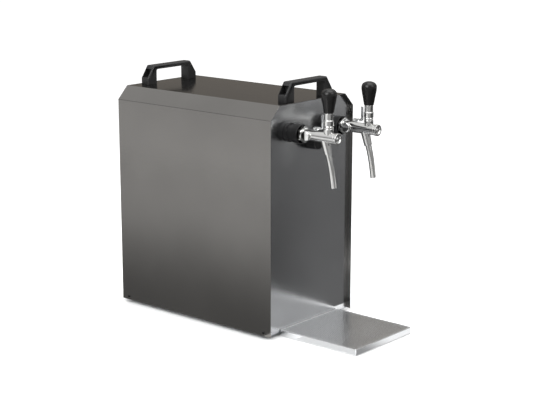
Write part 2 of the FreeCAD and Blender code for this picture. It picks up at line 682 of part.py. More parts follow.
# Thermostat on the front panel between the taps
def make_thermo_knob():
    at = V(0, FRONT_FACE - 0.6, THERMO_Z)
    grip = turned(at, V(0, -1, 0), [
        (0, THERMO_R - 0.4), (0.6, THERMO_R), (THERMO_LEN - 2.2, THERMO_R - 0.5),
        (THERMO_LEN - 0.9, THERMO_R - 1.3), (THERMO_LEN, THERMO_R - 2.4)])
    face = turned(V(0, at.y - THERMO_LEN, THERMO_Z), V(0, 1, 0), [(-1, 11.6), (0, 11.6), (0.5, 11.0)])
    grip = grip.cut(face)
    mark = box(-0.6, 0.6, at.y - THERMO_LEN - 1, at.y - THERMO_LEN + 1.0, THERMO_Z + 3.0, THERMO_Z + 10.5)
    grip = grip.cut(mark)
    return grip.fuse(rod(V(0, at.y - 2, THERMO_Z), V(0, FRONT_FACE + 22.0, THERMO_Z), 3.0))


def make_thermostat():
    start = FRONT_FACE + SHEET + 0.05
    body = box(-19.0, 19.0, start, start + 30.0, THERMO_Z - 22.0, THERMO_Z + 16.0)
    body = body.fuse(rod(V(0, FRONT_FACE - 0.3, THERMO_Z), V(0, start + 2, THERMO_Z), 4.7))
    return body.cut(rod(V(0, FRONT_FACE - 2, THERMO_Z), V(0, FRONT_FACE + 23.0, THERMO_Z), 3.0 + RUN_FIT))


# Rear fittings
def make_power_inlet():
    y = REAR_FACE + 0.05
    flange = prism([V(POWER_X - 24, y, POWER_Z - 11.5), V(POWER_X - 24, y, POWER_Z + 11.5),
                    V(POWER_X + 24, y, POWER_Z + 11.5), V(POWER_X + 24, y, POWER_Z - 11.5)],
                   [3.0] * 4, V(0, 2.6, 0))
    body = box(POWER_X - 13.5, POWER_X + 13.5, y - 22.0, y + 1.0, POWER_Z - 10.0, POWER_Z + 10.0)
    shape = flange.fuse(body)
    well = prism([V(POWER_X - 12, y - 16, POWER_Z - 8), V(POWER_X - 12, y - 16, POWER_Z + 4),
                  V(POWER_X - 8, y - 16, POWER_Z + 8), V(POWER_X + 8, y - 16, POWER_Z + 8),
                  V(POWER_X + 12, y - 16, POWER_Z + 4), V(POWER_X + 12, y - 16, POWER_Z - 8)],
                 [1.0] * 6, V(0, 20.0, 0))
    shape = shape.cut(well)
    for dx, dz in pin_places():
        shape = shape.cut(box(POWER_X + dx - 1.05, POWER_X + dx + 1.05, y - 23, y - 10,
                              POWER_Z + dz - 2.05, POWER_Z + dz + 2.05))
    return shape


def pin_places():
    return [(-7.0, -2.0), (0.0, 2.0), (7.0, -2.0)]


def make_pins():
    y = REAR_FACE
    pins = []
    for dx, dz in pin_places():
        pins.append(box(POWER_X + dx - 1.0, POWER_X + dx + 1.0, y - 30.0, y - 3.2,
                        POWER_Z + dz - 2.0, POWER_Z + dz + 2.0))
    return Part.makeCompound(pins)


def make_switch_frame():
    y = REAR_FACE + 0.05
    flange = box(SWITCH_X - 11.0, SWITCH_X + 11.0, y, y + 1.8, POWER_Z - 8.0, POWER_Z + 8.0)
    body = box(SWITCH_X - 9.5, SWITCH_X + 9.5, y - 14.0, y + 1.0, POWER_Z - 6.5, POWER_Z + 6.5)
    shape = flange.fuse(body)
    shape = shape.cut(box(SWITCH_X - 8.2, SWITCH_X + 8.2, y - 11.0, y + 3, POWER_Z - 5.2, POWER_Z + 5.2))
    return shape.cut(rod(V(SWITCH_X, y - 5.0, POWER_Z - 6.0), V(SWITCH_X, y - 5.0, POWER_Z + 6.0),
                         1.2 + RUN_FIT))


def make_rocker():
    y = REAR_FACE + 0.05
    z0, z1 = POWER_Z - 4.9, POWER_Z + 4.9
    wide = 6.7
    ring = [V(SWITCH_X - wide, y - 4.5, z0), V(SWITCH_X - wide, y + 3.4, z0), V(SWITCH_X, y + 1.6, z0),
            V(SWITCH_X + wide, y + 3.4, z0), V(SWITCH_X + wide, y - 4.5, z0), V(SWITCH_X, y - 7.0, z0)]
    body = prism(ring, [0.6, 0.8, 0, 0.8, 0.6, 2.0], V(0, 0, z1 - z0))
    axle = rod(V(SWITCH_X, y - 5.0, POWER_Z - 5.9), V(SWITCH_X, y - 5.0, POWER_Z + 5.9), 1.2)
    # stored tipped to its off side
    rocker = body.fuse(axle)
    rocker.rotate(V(SWITCH_X, y - 5.0, 0), V(0, 0, 1), -SWITCH_TIP)
    return rocker


def make_inlet(x):
    start = REAR_FACE + 0.05

    def y_at(y):
        return V(x, y, INLET_Z)

    body = turned(y_at(start), V(0, 1, 0), [
        (0, 11.5), (5.0, 11.5), (5.0, 9.6), (INLET_END - start - 3.0, 9.6), (INLET_END - start, 8.6)])
    body = body.fuse(rod(y_at(start + 1), y_at(REAR_FACE - 16.0), 8.0))
    tail = REAR_FACE - 32.0
    body = body.fuse(rod(y_at(REAR_FACE - 15.0), y_at(tail), SOCKET_R))
    body = body.cut(rod(y_at(INLET_END + 1), y_at(INLET_END - 18.0), INLET_TUBE_R))
    body = body.cut(rod(y_at(INLET_END), y_at(tail - 1), LINE_BORE))
    return body.cut(rod(y_at(tail + SOCKET_DEEP), y_at(tail - 1), LINE_R + FIT))


def make_inlet_nuts():
    nuts = []
    for x in (-INLET_X, INLET_X):
        start = V(x, REAR_FACE - SHEET - 0.05, INLET_Z)
        nut = Part.makeCylinder(11.5, 5.0, start, V(0, -1, 0))
        nuts.append(nut.cut(Part.makeCylinder(8.1, 7.0, start + V(0, 1, 0), V(0, -1, 0))))
    return Part.makeCompound(nuts)


# Cooling works
def stub_places():
    return [(-TAP_X, LINE_OUT_Y), (TAP_X, LINE_OUT_Y), (-TAP_X, LINE_IN_Y), (TAP_X, LINE_IN_Y)]


def make_block():
    shape = box(-BLOCK_X, BLOCK_X, BLOCK_Y0, BLOCK_Y1, BLOCK_Z0, BLOCK_Z1)
    shape = shape.makeFillet(6.0, [e for e in shape.Edges if abs(e.BoundBox.ZLength) > 100])
    for x, y in stub_places():
        shape = shape.fuse(rod(V(x, y, BLOCK_Z1 - 5), V(x, y, SOCKET_TOP), SOCKET_R))
        shape = shape.cut(rod(V(x, y, BLOCK_Z1 - 40), V(x, y, SOCKET_TOP + 1), LINE_BORE))
        shape = shape.cut(rod(V(x, y, SOCKET_TOP - SOCKET_DEEP), V(x, y, SOCKET_TOP + 1), LINE_R + FIT))
    for x in (SUCTION_X, CAPILLARY_X):
        shape = shape.fuse(rod(V(x, STUB_Y, BLOCK_Z1 - 5), V(x, STUB_Y, STUB_TOP), PIPE_R))
    return shape


def make_foam():
    z0 = CASE_Z + SHEET + 0.05
    outer = box(-BLOCK_X - FOAM, BLOCK_X + FOAM, BLOCK_Y0 - 16, BLOCK_Y1 + FOAM, z0, BLOCK_Z1 + FOAM)
    outer = outer.makeFillet(5.0, [e for e in outer.Edges if abs(e.BoundBox.ZLength) > 100])
    inner = box(-BLOCK_X - 0.4, BLOCK_X + 0.4, BLOCK_Y0 - 0.4, BLOCK_Y1 + 0.4, BLOCK_Z0 - 0.05, BLOCK_Z1 + 0.4)
    shape = outer.cut(inner)
    for x, y in stub_places() + [(SUCTION_X, STUB_Y), (CAPILLARY_X, STUB_Y)]:
        shape = shape.cut(rod(V(x, y, BLOCK_Z1), V(x, y, BLOCK_Z1 + FOAM + 1), SOCKET_R + 0.3))
    for x, y in foot_places():
        shape = shape.cut(rod(V(x, y, 0), V(x, y, CASE_Z + SHEET + 3.0), FOOT_STEM_R + 2.0))
    return shape


# Steel beer lines, each end seated in its socket
def make_lines(start_y, turn_y, z):
    foot = SOCKET_TOP - SOCKET_DEEP + FIT
    lines = []
    for x in (-TAP_X, TAP_X):
        points = [V(x, start_y, z), V(x, turn_y, z), V(x, turn_y, foot)]
        lines.append(tube(points, LINE_BEND, LINE_R, LINE_BORE))
    return Part.makeCompound(lines)


def make_outlet_lines():
    return make_lines(SHANK_TAIL + 14.0 - SOCKET_DEEP + FIT, LINE_OUT_Y, TAP_Z)


def make_inlet_lines():
    return make_lines(REAR_FACE - 32.0 + SOCKET_DEEP - FIT, LINE_IN_Y, INLET_Z)


def pump_mount_places():
    return [(PUMP_X + dx, PUMP_Y + dy) for dx in (-55.0, 55.0) for dy in (-55.0, 55.0)]


def make_compressor():
    at = V(PUMP_X, PUMP_Y, 0)
    shell = turned(at, V(0, 0, 1), [
        (PUMP_Z + 4, 40), (PUMP_Z + 8, 52), (PUMP_Z + 18, PUMP_R - 1.5), (PUMP_Z + 70, PUMP_R - 1.5),
        (PUMP_Z + 71, PUMP_R), (PUMP_Z + 76, PUMP_R), (PUMP_Z + 77, PUMP_R - 2.5),
        (PUMP_TOP - 38, PUMP_R - 3.5), (PUMP_TOP - 18, 52), (PUMP_TOP - 6, 34), (PUMP_TOP, 12)])
    shape = shell
    plate = box(PUMP_X - 64, PUMP_X + 64, PUMP_Y - 64, PUMP_Y + 64, PUMP_Z, PUMP_Z + 2.5)
    plate = plate.cut(rod(V(PUMP_X, PUMP_Y, PUMP_Z - 1), V(PUMP_X, PUMP_Y, PUMP_Z + 4), 36.0))
    shape = shape.fuse(plate)
    shape = shape.fuse(rod(V(PUMP_X, PUMP_Y, PUMP_Z + 2.0), V(PUMP_X, PUMP_Y, PUMP_Z + 8.0), 38.0))
    shape = shape.fuse(box(PUMP_X + 52, PUMP_X + 86, PUMP_Y - 24, PUMP_Y + 24, 62, 118))
    shape = shape.fuse(rod(V(PUMP_X - 25, PUMP_Y, PUMP_TOP - 12), V(PUMP_X - 25, PUMP_Y, PUMP_TOP + 2), 4.4))
    shape = shape.fuse(rod(V(SUCTION_X, PUMP_Y - 54, SUCTION_Z), V(SUCTION_X, SUCTION_Y, SUCTION_Z), 4.4))
    for x, y in pump_mount_places():
        shape = shape.cut(rod(V(x, y, PUMP_Z - 1), V(x, y, PUMP_Z + 4), 5.1))
    return shape


def make_pump_mounts():
    mounts = []
    z0 = CASE_Z + SHEET + 0.05
    for x, y in pump_mount_places():
        mounts.append(turned(V(x, y, 0), V(0, 0, 1), [
            (z0, 10.0), (PUMP_Z - 0.05, 9.0), (PUMP_Z - 0.05, 4.8), (PUMP_Z + 2.6, 4.8),
            (PUMP_Z + 2.6, 8.0), (PUMP_Z + 6.0, 6.5)]))
    return Part.makeCompound(mounts)


def coil_rows():
    rows = []
    for j in range(7):
        z = COIL_Z0 + 21.0 + j * (COIL_Z1 - COIL_Z0 - 42.0) / 6
        rows.append((COIL_Y0 + 10.0 + (j % 2) * 16.0, z))
    return rows


def make_condenser():
    fins = []
    for i in range(31):
        x = (COIL_X - 6.0) * (i / 15.0 - 1.0)
        fins.append(box(x - 0.3, x + 0.3, COIL_Y0, COIL_Y1, COIL_Z0, COIL_Z1))
    for x in (-COIL_X + 1.0, COIL_X - 1.0):
        fins.append(box(x - 1.0, x + 1.0, COIL_Y0, COIL_Y1, COIL_Z0, COIL_Z1))
    tubes = []
    rows = coil_rows()
    for y, z in rows:
        tubes.append(rod(V(-COIL_X - 4, y, z), V(COIL_X + 4, y, z), 4.0))
    for j in range(6):
        a, b = rows[j], rows[j + 1]
        x = COIL_X + 4.0 if j % 2 else -COIL_X - 4.0
        start, end = V(x, a[0], a[1]), V(x, b[0], b[1])
        reach = (end - start).normalize() * 5.5
        tubes.append(rod(start - reach, end + reach, 4.7))
    return fins[0].multiFuse(fins[1:] + tubes)


def make_shroud():
    y0, y1 = COIL_Y1 + 0.1, REAR_FACE - SHEET - 0.05
    outer = box(-COIL_X, COIL_X, y0, y1, COIL_Z0, COIL_Z1)
    inner = box(-COIL_X + 1.2, COIL_X - 1.2, y0 + 1.2, y1 + 1, COIL_Z0 + 1.2, COIL_Z1 - 1.2)
    shape = outer.cut(inner)
    ring = rod(V(0, y0, FAN_Z), V(0, y0 + 14.0, FAN_Z), FAN_R + 5.2)
    shape = shape.fuse(ring)
    return shape.cut(rod(V(0, y0 - 1, FAN_Z), V(0, y0 + 15, FAN_Z), FAN_R + 4.0))


def make_fan_motor():
    y0 = COIL_Y1 + 34.0
    shape = turned(V(0, y0, FAN_Z), V(0, 1, 0), [(0, 24), (2, 26), (24, 26), (28, 22)])
    shape = shape.cut(rod(V(0, y0 - 1, FAN_Z), V(0, y0 + 16, FAN_Z), 3.0 + RUN_FIT))
    reach = COIL_X - 1.3
    for z in (FAN_Z - 12.0, FAN_Z + 8.0):
        shape = shape.fuse(box(-reach, reach, y0 + 16, y0 + 18, z, z + 4.0))
    return shape


def make_fan_rotor():
    y0 = COIL_Y1 + 8.0
    hub = turned(V(0, y0, FAN_Z), V(0, 1, 0), [(0, 14), (3, 18), (22, 18), (22, 3.0)])
    shape = hub.fuse(rod(V(0, y0 + 20, FAN_Z), V(0, y0 + 40.0, FAN_Z), 3.0))
    for i in range(5):
        blade = box(16.0, FAN_R, -0.8, 0.8, -17.0, 17.0)
        blade = blade.makeFillet(8.0, [e for e in blade.Edges
                                       if e.BoundBox.YLength > 1.0 and e.CenterOfMass.x > FAN_R / 2
                                       and e.BoundBox.XLength < 1 and e.BoundBox.ZLength < 1])
        blade.rotate(V(0, 0, 0), V(1, 0, 0), 55.0)
        blade.rotate(V(0, 0, 0), V(0, 1, 0), 72.0 * i)
        blade.translate(V(0, y0 + 11.0, FAN_Z))
        shape = shape.fuse(blade)
    return shape


def make_discharge_pipe():
    y, z = coil_rows()[6]
    end_x = -COIL_X - 4.3
    side, turn_z = -SIDE_PIPE_X, PUMP_TOP + 20.0
    points = [V(PUMP_X - 25, PUMP_Y, PUMP_TOP + 2.2), V(PUMP_X - 25, PUMP_Y, turn_z),
              V(side, PUMP_Y, turn_z), V(side, y, turn_z), V(side, y, z), V(end_x, y, z)]
    return tube(points, 6.5, PIPE_R, PIPE_BORE)


def make_suction_pipe():
    x, bend = SUCTION_X, STUB_TOP + 30.0
    drop_y = BLOCK_Y1 + FOAM + 17.0
    points = [V(x, STUB_Y, STUB_TOP + 0.2), V(x, STUB_Y, bend), V(x, drop_y, bend),
              V(x, drop_y, SUCTION_Z), V(x, SUCTION_Y - 0.2, SUCTION_Z)]
    return tube(points, 12.0, PIPE_R, PIPE_BORE)


def make_filter_drier():
    y, z = coil_rows()[0]
    end_x = COIL_X + 4.3
    side, drop_y, bend, turn_z = SIDE_PIPE_X, BLOCK_Y1 + FOAM + 14.0, STUB_TOP + 22.0, COIL_Z0 - 18.0
    inlet = swept([V(end_x, y, z), V(side, y, z), V(side, y, turn_z), V(side, DRIER_Y, turn_z),
                   V(side, DRIER_Y, 170)], 6.5, PIPE_R)
    drum = turned(V(side, DRIER_Y, 0), V(0, 0, 1), [(80, 2.9), (86, 9), (168, 9), (176, 3.8)])
    capillary = swept([V(side, DRIER_Y, 84), V(side, DRIER_Y, 60), V(side, drop_y, 60), V(side, drop_y, bend),
                       V(CAPILLARY_X, drop_y, bend), V(CAPILLARY_X, STUB_Y, bend),
                       V(CAPILLARY_X, STUB_Y, STUB_TOP + 0.2)], 10.0, CAPILLARY_R)
    return inlet.fuse(drum).fuse(capillary)


# Every piece is written to its own file
export("cover", make_cover())
export("front_panel", make_front_panel())
export("rear_panel", make_rear_panel())
export("base_pan", make_base_pan())
export("feet", make_feet())
export("cover_screws", make_cover_screws())
export("rear_screws", make_rear_screws())
export("handle_screws", make_handle_screws())
export("front_handle", make_handle(HANDLE_FRONT_Y))
export("rear_handle", make_handle(HANDLE_REAR_Y))

export_pair("tap_bush", make_bush())
export_pair("tap_shank", make_shank())
export_pair("tap_locknut", make_locknut())
export_pair("tap_nut", make_nut())
export_pair("tap_body", make_body())
export_pair("tap_cap", make_cap())
export_pair("tap_collar", make_collar())
export_pair("tap_stem", make_stem())
export_pair("tap_ferrule", make_ferrule())
export_pair("tap_knob", make_knob())
export_pair("tap_valve", make_valve())
export_pair("tap_spout", make_spout())
export_pair("flow_lever", make_comp_lever())

export("drip_tray", make_tray())
export("drip_grate", make_grate())
export("thermostat_knob", make_thermo_knob())
export("thermostat", make_thermostat())

export("power_inlet", make_power_inlet())
export("power_pins", make_pins())
export("switch_frame", make_switch_frame())
export("switch_rocker", make_rocker())
export("left_beer_inlet", make_inlet(-INLET_X))
export("right_beer_inlet", make_inlet(INLET_X))
export("inlet_nuts", make_inlet_nuts())

export("cooling_block", make_block())
export("insulation", make_foam())
export("outlet_lines", make_outlet_lines())
export("inlet_lines", make_inlet_lines())
export("compressor", make_compressor())
export("compressor_mounts", make_pump_mounts())
export("condenser", make_condenser())
export("fan_shroud", make_shroud())
export("fan_motor", make_fan_motor())
export("fan_rotor", make_fan_rotor())
export("discharge_pipe", make_discharge_pipe())
export("suction_pipe", make_suction_pipe())
export("filter_drier", make_filter_drier())
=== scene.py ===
import json
import math

import bmesh
import bpy
import numpy as np
from bpy.props import FloatProperty, FloatVectorProperty, IntProperty, PointerProperty
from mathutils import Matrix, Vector


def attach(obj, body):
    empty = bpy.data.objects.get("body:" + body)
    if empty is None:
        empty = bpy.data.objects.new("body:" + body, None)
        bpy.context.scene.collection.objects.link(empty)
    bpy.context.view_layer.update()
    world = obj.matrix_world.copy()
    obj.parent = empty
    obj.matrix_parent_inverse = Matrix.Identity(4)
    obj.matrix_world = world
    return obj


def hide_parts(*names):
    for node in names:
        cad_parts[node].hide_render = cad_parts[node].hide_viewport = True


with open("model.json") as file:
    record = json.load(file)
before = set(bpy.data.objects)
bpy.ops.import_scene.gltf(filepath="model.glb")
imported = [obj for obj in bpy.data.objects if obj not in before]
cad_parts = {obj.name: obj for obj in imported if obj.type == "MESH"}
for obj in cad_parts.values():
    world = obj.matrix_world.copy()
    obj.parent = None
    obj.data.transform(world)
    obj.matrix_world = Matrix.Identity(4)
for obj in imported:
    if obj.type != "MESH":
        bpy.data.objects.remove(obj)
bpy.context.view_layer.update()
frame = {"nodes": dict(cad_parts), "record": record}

bl_info = {
    "name": "Over-counter beer cooler",
    "version": (1, 0, 0),
    "blender": (4, 5, 0),
    "location": "View3D > Sidebar > Cooler",
    "description": "Dresses an over-counter beer cooler with two taps and sets its studio",
    "category": "Object",
}

SIDES = (("left", -0.065), ("right", 0.065))

# Places of the solids, in metres
CASE_HALF = 0.1325
CASE_FRONT, CASE_REAR = -0.128, 0.300
CASE_LOW, CASE_TOP = 0.007, 0.477
CHAMFER = 0.027
SHEET = 0.0012
PANEL_Y = -0.119
TAP_Z = 0.418
BUSH_END, CUP_FRONT = -0.136, -0.152
NUT_FRONT = -0.1601
BARREL_FRONT, CAP_FRONT = -0.236, -0.2425
LEVER_Y = -0.218
PIVOT_Z, KNOB_Z = 0.438, 0.467
CROSS_Y = -0.1702
TRAY_HALF = 0.094
TRAY_FRONT, TRAY_REAR = -0.314, -0.1194
TRAY_TOP = 0.014
DIAL_BACK, DIAL_Z = PANEL_Y - 0.0006, 0.391
CORNER_SHARE = math.tan(math.radians(22.5))


# Sizes and colours that a user would change
def colour(name, description, default):
    return FloatVectorProperty(name=name, description=description, default=default,
                               subtype="COLOR", size=3, min=0.0, max=1.0)


def length(name, description, default):
    return FloatProperty(name=name, description=description, default=default,
                         subtype="DISTANCE", unit="LENGTH", min=0.0)


class CoolerColours(bpy.types.PropertyGroup):
    cover: colour("Cover", "Tinted steel of the folded cover", (0.190, 0.184, 0.176))
    panel: colour("Front panel", "Polished steel of the front panel", (0.56, 0.565, 0.575))
    handle: colour("Handles", "Moulded carrying handles", (0.012, 0.012, 0.0125))
    knob: colour("Knobs", "Tap knobs and thermostat knob", (0.0065, 0.0062, 0.0062))
    bush: colour("Bush", "Moulded bush behind each tap", (0.0075, 0.0075, 0.0078))
    chrome: colour("Chrome", "Plated tap pieces", (0.60, 0.60, 0.59))
    steel: colour("Steel", "Polished steel of the tray and flow levers", (0.70, 0.71, 0.72))
    floor: colour("Floor", "Pale studio floor", (0.80, 0.80, 0.80))


class CoolerSizes(bpy.types.PropertyGroup):
    pitch: length("Hole pitch", "Distance between holes of the drip grate", 0.005)
    hole_share: FloatProperty(name="Hole share", description="Width of a hole over the pitch",
                              default=0.5, min=0.2, max=0.9)
    fold: length("Fold reach", "Reach of the folds of the cover", 0.0012)
    edge: length("Edge reach", "Reach of the softened edges of turned pieces", 0.0004)
    turns: IntProperty(name="Turns", description="Faces round a turned piece", default=96,
                       min=12, max=256)


# Shapes are pairs of points (n, 3) and faces, in metres
def soften(points, reach, steps=4, closed=False):
    """Polyline whose corners P become curves (1 - t)^2 A + 2 t (1 - t) P + t^2 B, with A and B at
    reach before and after P, or 0.45 of the shorter side where that is less."""
    p = np.asarray(points, float)
    if closed:
        before, at, after = np.roll(p, 1, axis=0), p, np.roll(p, -1, axis=0)
    else:
        before, at, after = p[:-2], p[1:-1], p[2:]
    back, ahead = before - at, after - at
    back_len = np.linalg.norm(back, axis=1, keepdims=True)
    ahead_len = np.linalg.norm(ahead, axis=1, keepdims=True)
    wanted = np.broadcast_to(np.reshape(np.asarray(reach, float), (-1, 1)), back_len.shape)
    cut = np.minimum(wanted, 0.45 * np.minimum(back_len, ahead_len))
    a, b = at + back / back_len * cut, at + ahead / ahead_len * cut
    t = np.linspace(0.0, 1.0, steps)[None, :, None]
    curve = (1 - t) ** 2 * a[:, None] + 2 * t * (1 - t) * at[:, None] + t ** 2 * b[:, None]
    curve = curve.reshape(-1, p.shape[1])
    return curve if closed else np.concatenate([p[:1], curve, p[-1:]])


def flowing(points, steps=8):
    """Curve through all the points: between P1 and P2 it is the cubic with end slopes
    (P2 - P0) / 2 and (P3 - P1) / 2."""
    p = np.asarray(points, float)
    p = np.concatenate([2 * p[:1] - p[1:2], p, 2 * p[-1:] - p[-2:-1]])
    p0, p1, p2, p3 = (q[:, None] for q in (p[:-3], p[1:-2], p[2:-1], p[3:]))
    t = np.linspace(0.0, 1.0, steps, endpoint=False)[None, :, None]
    curve = 0.5 * (2 * p1 + (p2 - p0) * t + (2 * p0 - 5 * p1 + 4 * p2 - p3) * t ** 2
                   + (3 * p1 - p0 - 3 * p2 + p3) * t ** 3)
    return np.concatenate([curve.reshape(-1, p.shape[1]), p[-2:-1]])


def grid_faces(rows, columns, round_rows=False, round_columns=True):
    """Four-sided faces between the neighbours of a rows by columns grid."""
    i, j = np.meshgrid(np.arange(rows if round_rows else rows - 1),
                       np.arange(columns if round_columns else columns - 1), indexing="ij")
    i, j = i.ravel(), j.ravel()
    k, m = (i + 1) % rows, (j + 1) % columns
    corners = [i * columns + j, i * columns + m, k * columns + m, k * columns + j]
    return np.stack(corners, axis=1).tolist()


def skin(grid, round_rows=False, caps=True):
    """Closed skin over a grid (rows, columns, 3) whose columns run round; the end rows get flat caps
    where the rows don't run round too."""
    rows, columns = grid.shape[:2]
    faces = grid_faces(rows, columns, round_rows)
    if caps and not round_rows:
        faces.append(list(range(columns)))
        faces.append(list(range((rows - 1) * columns, rows * columns)))
    return grid.reshape(-1, 3), faces


def turned(profile, base, way, turns):
    """Points base + way a + r (side cos u + other sin u) for each (a, r) of the profile and each
    angle u; a profile end with r = 0 is a pole, and one with no pole runs round."""
    profile = np.asarray(profile, float)
    base, way = np.asarray(base, float), np.asarray(way, float)
    side = np.array([0.0, 0.0, 1.0]) if abs(way[2]) < 0.5 else np.array([1.0, 0.0, 0.0])
    other = np.cross(way, side)
    u = np.linspace(0.0, 2 * np.pi, turns, endpoint=False)
    ring = np.cos(u)[:, None] * side + np.sin(u)[:, None] * other
    body = profile[profile[:, 1] > 1e-7]
    grid = base + body[:, 0, None, None] * way + body[:, 1, None, None] * ring
    points, faces = skin(grid, round_rows=profile[0, 1] > 1e-7, caps=False)
    j = np.arange(turns)
    for end, row in ((0, 0), (-1, len(body) - 1)):
        if profile[end, 1] <= 1e-7:
            pole = np.full(turns, len(points))
            points = np.concatenate([points, [base + profile[end, 0] * way]])
            fan = [row * turns + j, row * turns + (j + 1) % turns, pole]
            faces += np.stack(fan, axis=1).tolist()
    return points, faces


def swept(path, radii, side, turns):
    """Points C + r (side cos u + other sin u) round each point C of a path that lies square to
    side, where other is square to side and to the path."""
    path, side = np.asarray(path, float), np.asarray(side, float)
    along = np.gradient(path, axis=0)
    along /= np.linalg.norm(along, axis=1, keepdims=True)
    other = np.cross(along, side)
    u = np.linspace(0.0, 2 * np.pi, turns, endpoint=False)
    ring = np.cos(u)[None, :, None] * side + np.sin(u)[None, :, None] * other[:, None]
    return path[:, None] + np.asarray(radii, float)[:, None, None] * ring


def joined(*shapes):
    """The shapes as one list of points and faces."""
    points, faces, start = [], [], 0
    for shape_points, shape_faces in shapes:
        points.append(shape_points)
        faces += [[index + start for index in face] for face in shape_faces]
        start += len(shape_points)
    return np.concatenate(points), faces


def moved(shape, x):
    """The shape moved along X."""
    return shape[0] + np.array([x, 0.0, 0.0]), shape[1]


def lying(x0, x1, y0, y1, z):
    """Corners of a level rectangle at height z."""
    return [(x0, y0, z), (x1, y0, z), (x1, y1, z), (x0, y1, z)]


def piece(name, shape, finish, body, nodes, sharp=32.0, bevel=0.0):
    """Puts a shape into a mesh, outward and smooth, gives it its finish and seats it in the frame."""
    mesh = bpy.data.meshes.new(name)
    mesh.from_pydata(shape[0].tolist(), [], shape[1])
    work = bmesh.new()
    work.from_mesh(mesh)
    bmesh.ops.recalc_face_normals(work, faces=work.faces)
    work.to_mesh(mesh)
    work.free()
    obj = bpy.data.objects.new(name, mesh)
    bpy.context.scene.collection.objects.link(obj)
    return settle(obj, finish, body, nodes, sharp, bevel)


def copied(name, node, finish, body, sharp=32.0, bevel=0.0):
    """A merged copy of a CAD node that stands for it."""
    source = frame["nodes"][node]
    mesh = source.data.copy()
    mesh.name = name
    work = bmesh.new()
    work.from_mesh(mesh)
    bmesh.ops.remove_doubles(work, verts=work.verts, dist=1e-6)
    bmesh.ops.dissolve_limit(work, angle_limit=math.radians(0.5), verts=work.verts, edges=work.edges)
    work.to_mesh(mesh)
    work.free()
    mesh.materials.clear()
    obj = bpy.data.objects.new(name, mesh)
    bpy.context.scene.collection.objects.link(obj)
    return settle(obj, finish, body, [node], sharp, bevel)


def settle(obj, finish, body, nodes, sharp, bevel):
    """Shades, dresses and seats a piece; bevel softens its sharp edges by that width."""
    obj.data.materials.append(finish)
    obj.data.shade_smooth()
    if bevel:
        soft = obj.modifiers.new("Softened edges", "BEVEL")
        soft.width, soft.segments = bevel, 3
        soft.limit_method, soft.angle_limit = "ANGLE", math.radians(sharp)
        soft.harden_normals = True
    else:
        obj.data.set_sharp_from_angle(angle=math.radians(sharp))
        flat = obj.modifiers.new("Flat faces stay flat", "WEIGHTED_NORMAL")
        flat.mode, flat.weight, flat.keep_sharp = "FACE_AREA", 100, True
    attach(obj, body)
    if nodes:
        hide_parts(*nodes)
    return obj


# Finishes
MIX_FACTOR, MIX_FIRST, MIX_SECOND, MIX_COLOUR = 0, 6, 7, 2  # sockets of a Mix node for colours


class Value:
    """A socket with a number that takes part in sums."""

    def __init__(self, nodes, socket):
        self.nodes, self.socket = nodes, socket

    def sum(self, operation, first, second):
        made = self.nodes.node("ShaderNodeMath", {"operation": operation}, {0: first, 1: second})
        return Value(self.nodes, made.outputs["Value"])

    def __add__(self, other):
        return self.sum("ADD", self, other)

    def __radd__(self, other):
        return self.sum("ADD", other, self)

    def __sub__(self, other):
        return self.sum("SUBTRACT", self, other)

    def __rsub__(self, other):
        return self.sum("SUBTRACT", other, self)

    def __mul__(self, other):
        return self.sum("MULTIPLY", self, other)

    def __rmul__(self, other):
        return self.sum("MULTIPLY", other, self)


class Nodes:
    """The nodes of a finish or of the world in the making."""

    def __init__(self, tree):
        self.tree = tree

    def node(self, kind, settings=None, sockets=None):
        """A new node with its settings, and its sockets linked or set."""
        made = self.tree.nodes.new(kind)
        for key, value in (settings or {}).items():
            setattr(made, key, value)
        for key, value in (sockets or {}).items():
            if isinstance(value, Value):
                value = value.socket
            if isinstance(value, bpy.types.NodeSocket):
                self.tree.links.new(value, made.inputs[key])
            else:
                made.inputs[key].default_value = value
        return made

    def blend(self, factor, first, second):
        """Colour between first at factor 0 and second at factor 1."""
        made = self.node("ShaderNodeMix", {"data_type": "RGBA"},
                         {MIX_FACTOR: factor, MIX_FIRST: first, MIX_SECOND: second})
        return made.outputs[MIX_COLOUR]

    def ramp(self, value, low, high):
        """0 below low, 1 above high and a smooth step between."""
        made = self.node("ShaderNodeMapRange", {"interpolation_type": "SMOOTHSTEP"},
                         {"Value": value, "From Min": low, "From Max": high,
                          "To Min": 0.0, "To Max": 1.0})
        return Value(self, made.outputs["Result"])


class Finish(Nodes):
    """A finish in the making: its nodes, its shader and its object coordinates."""

    def __init__(self, name, **constants):
        self.material = bpy.data.materials.new(name)
        self.material.use_nodes = True
        super().__init__(self.material.node_tree)
        self.shader = self.tree.nodes["Principled BSDF"]
        for socket, value in constants.items():
            self.shader.inputs[socket.replace("_", " ")].default_value = value
        self.place = self.node("ShaderNodeTexCoord").outputs["Object"]

    def noise(self, scale, detail=2.0, stretch=(1.0, 1.0, 1.0)):
        """Noise about 0.5 over the object coordinates, stretched by the given factors."""
        place = self.place
        if stretch != (1.0, 1.0, 1.0):
            mapped = self.node("ShaderNodeMapping", None, {"Vector": place, "Scale": stretch})
            place = mapped.outputs["Vector"]
        made = self.node("ShaderNodeTexNoise", None,
                         {"Vector": place, "Scale": scale, "Detail": detail})
        return Value(self, made.outputs["Fac"])

    def feed(self, socket, value):
        """Drives one of the shader's inputs."""
        if isinstance(value, Value):
            value = value.socket
        self.tree.links.new(value, self.shader.inputs[socket])

    def bump(self, height, distance):
        """Relief whose full height is distance."""
        made = self.node("ShaderNodeBump", None, {"Height": height, "Distance": distance})
        self.tree.links.new(made.outputs["Normal"], self.shader.inputs["Normal"])


def shade(colour, factor):
    """The colour times the factor, no brighter than 1, with an opaque alpha."""
    return tuple(min(1.0, c * factor) for c in colour) + (1.0,)


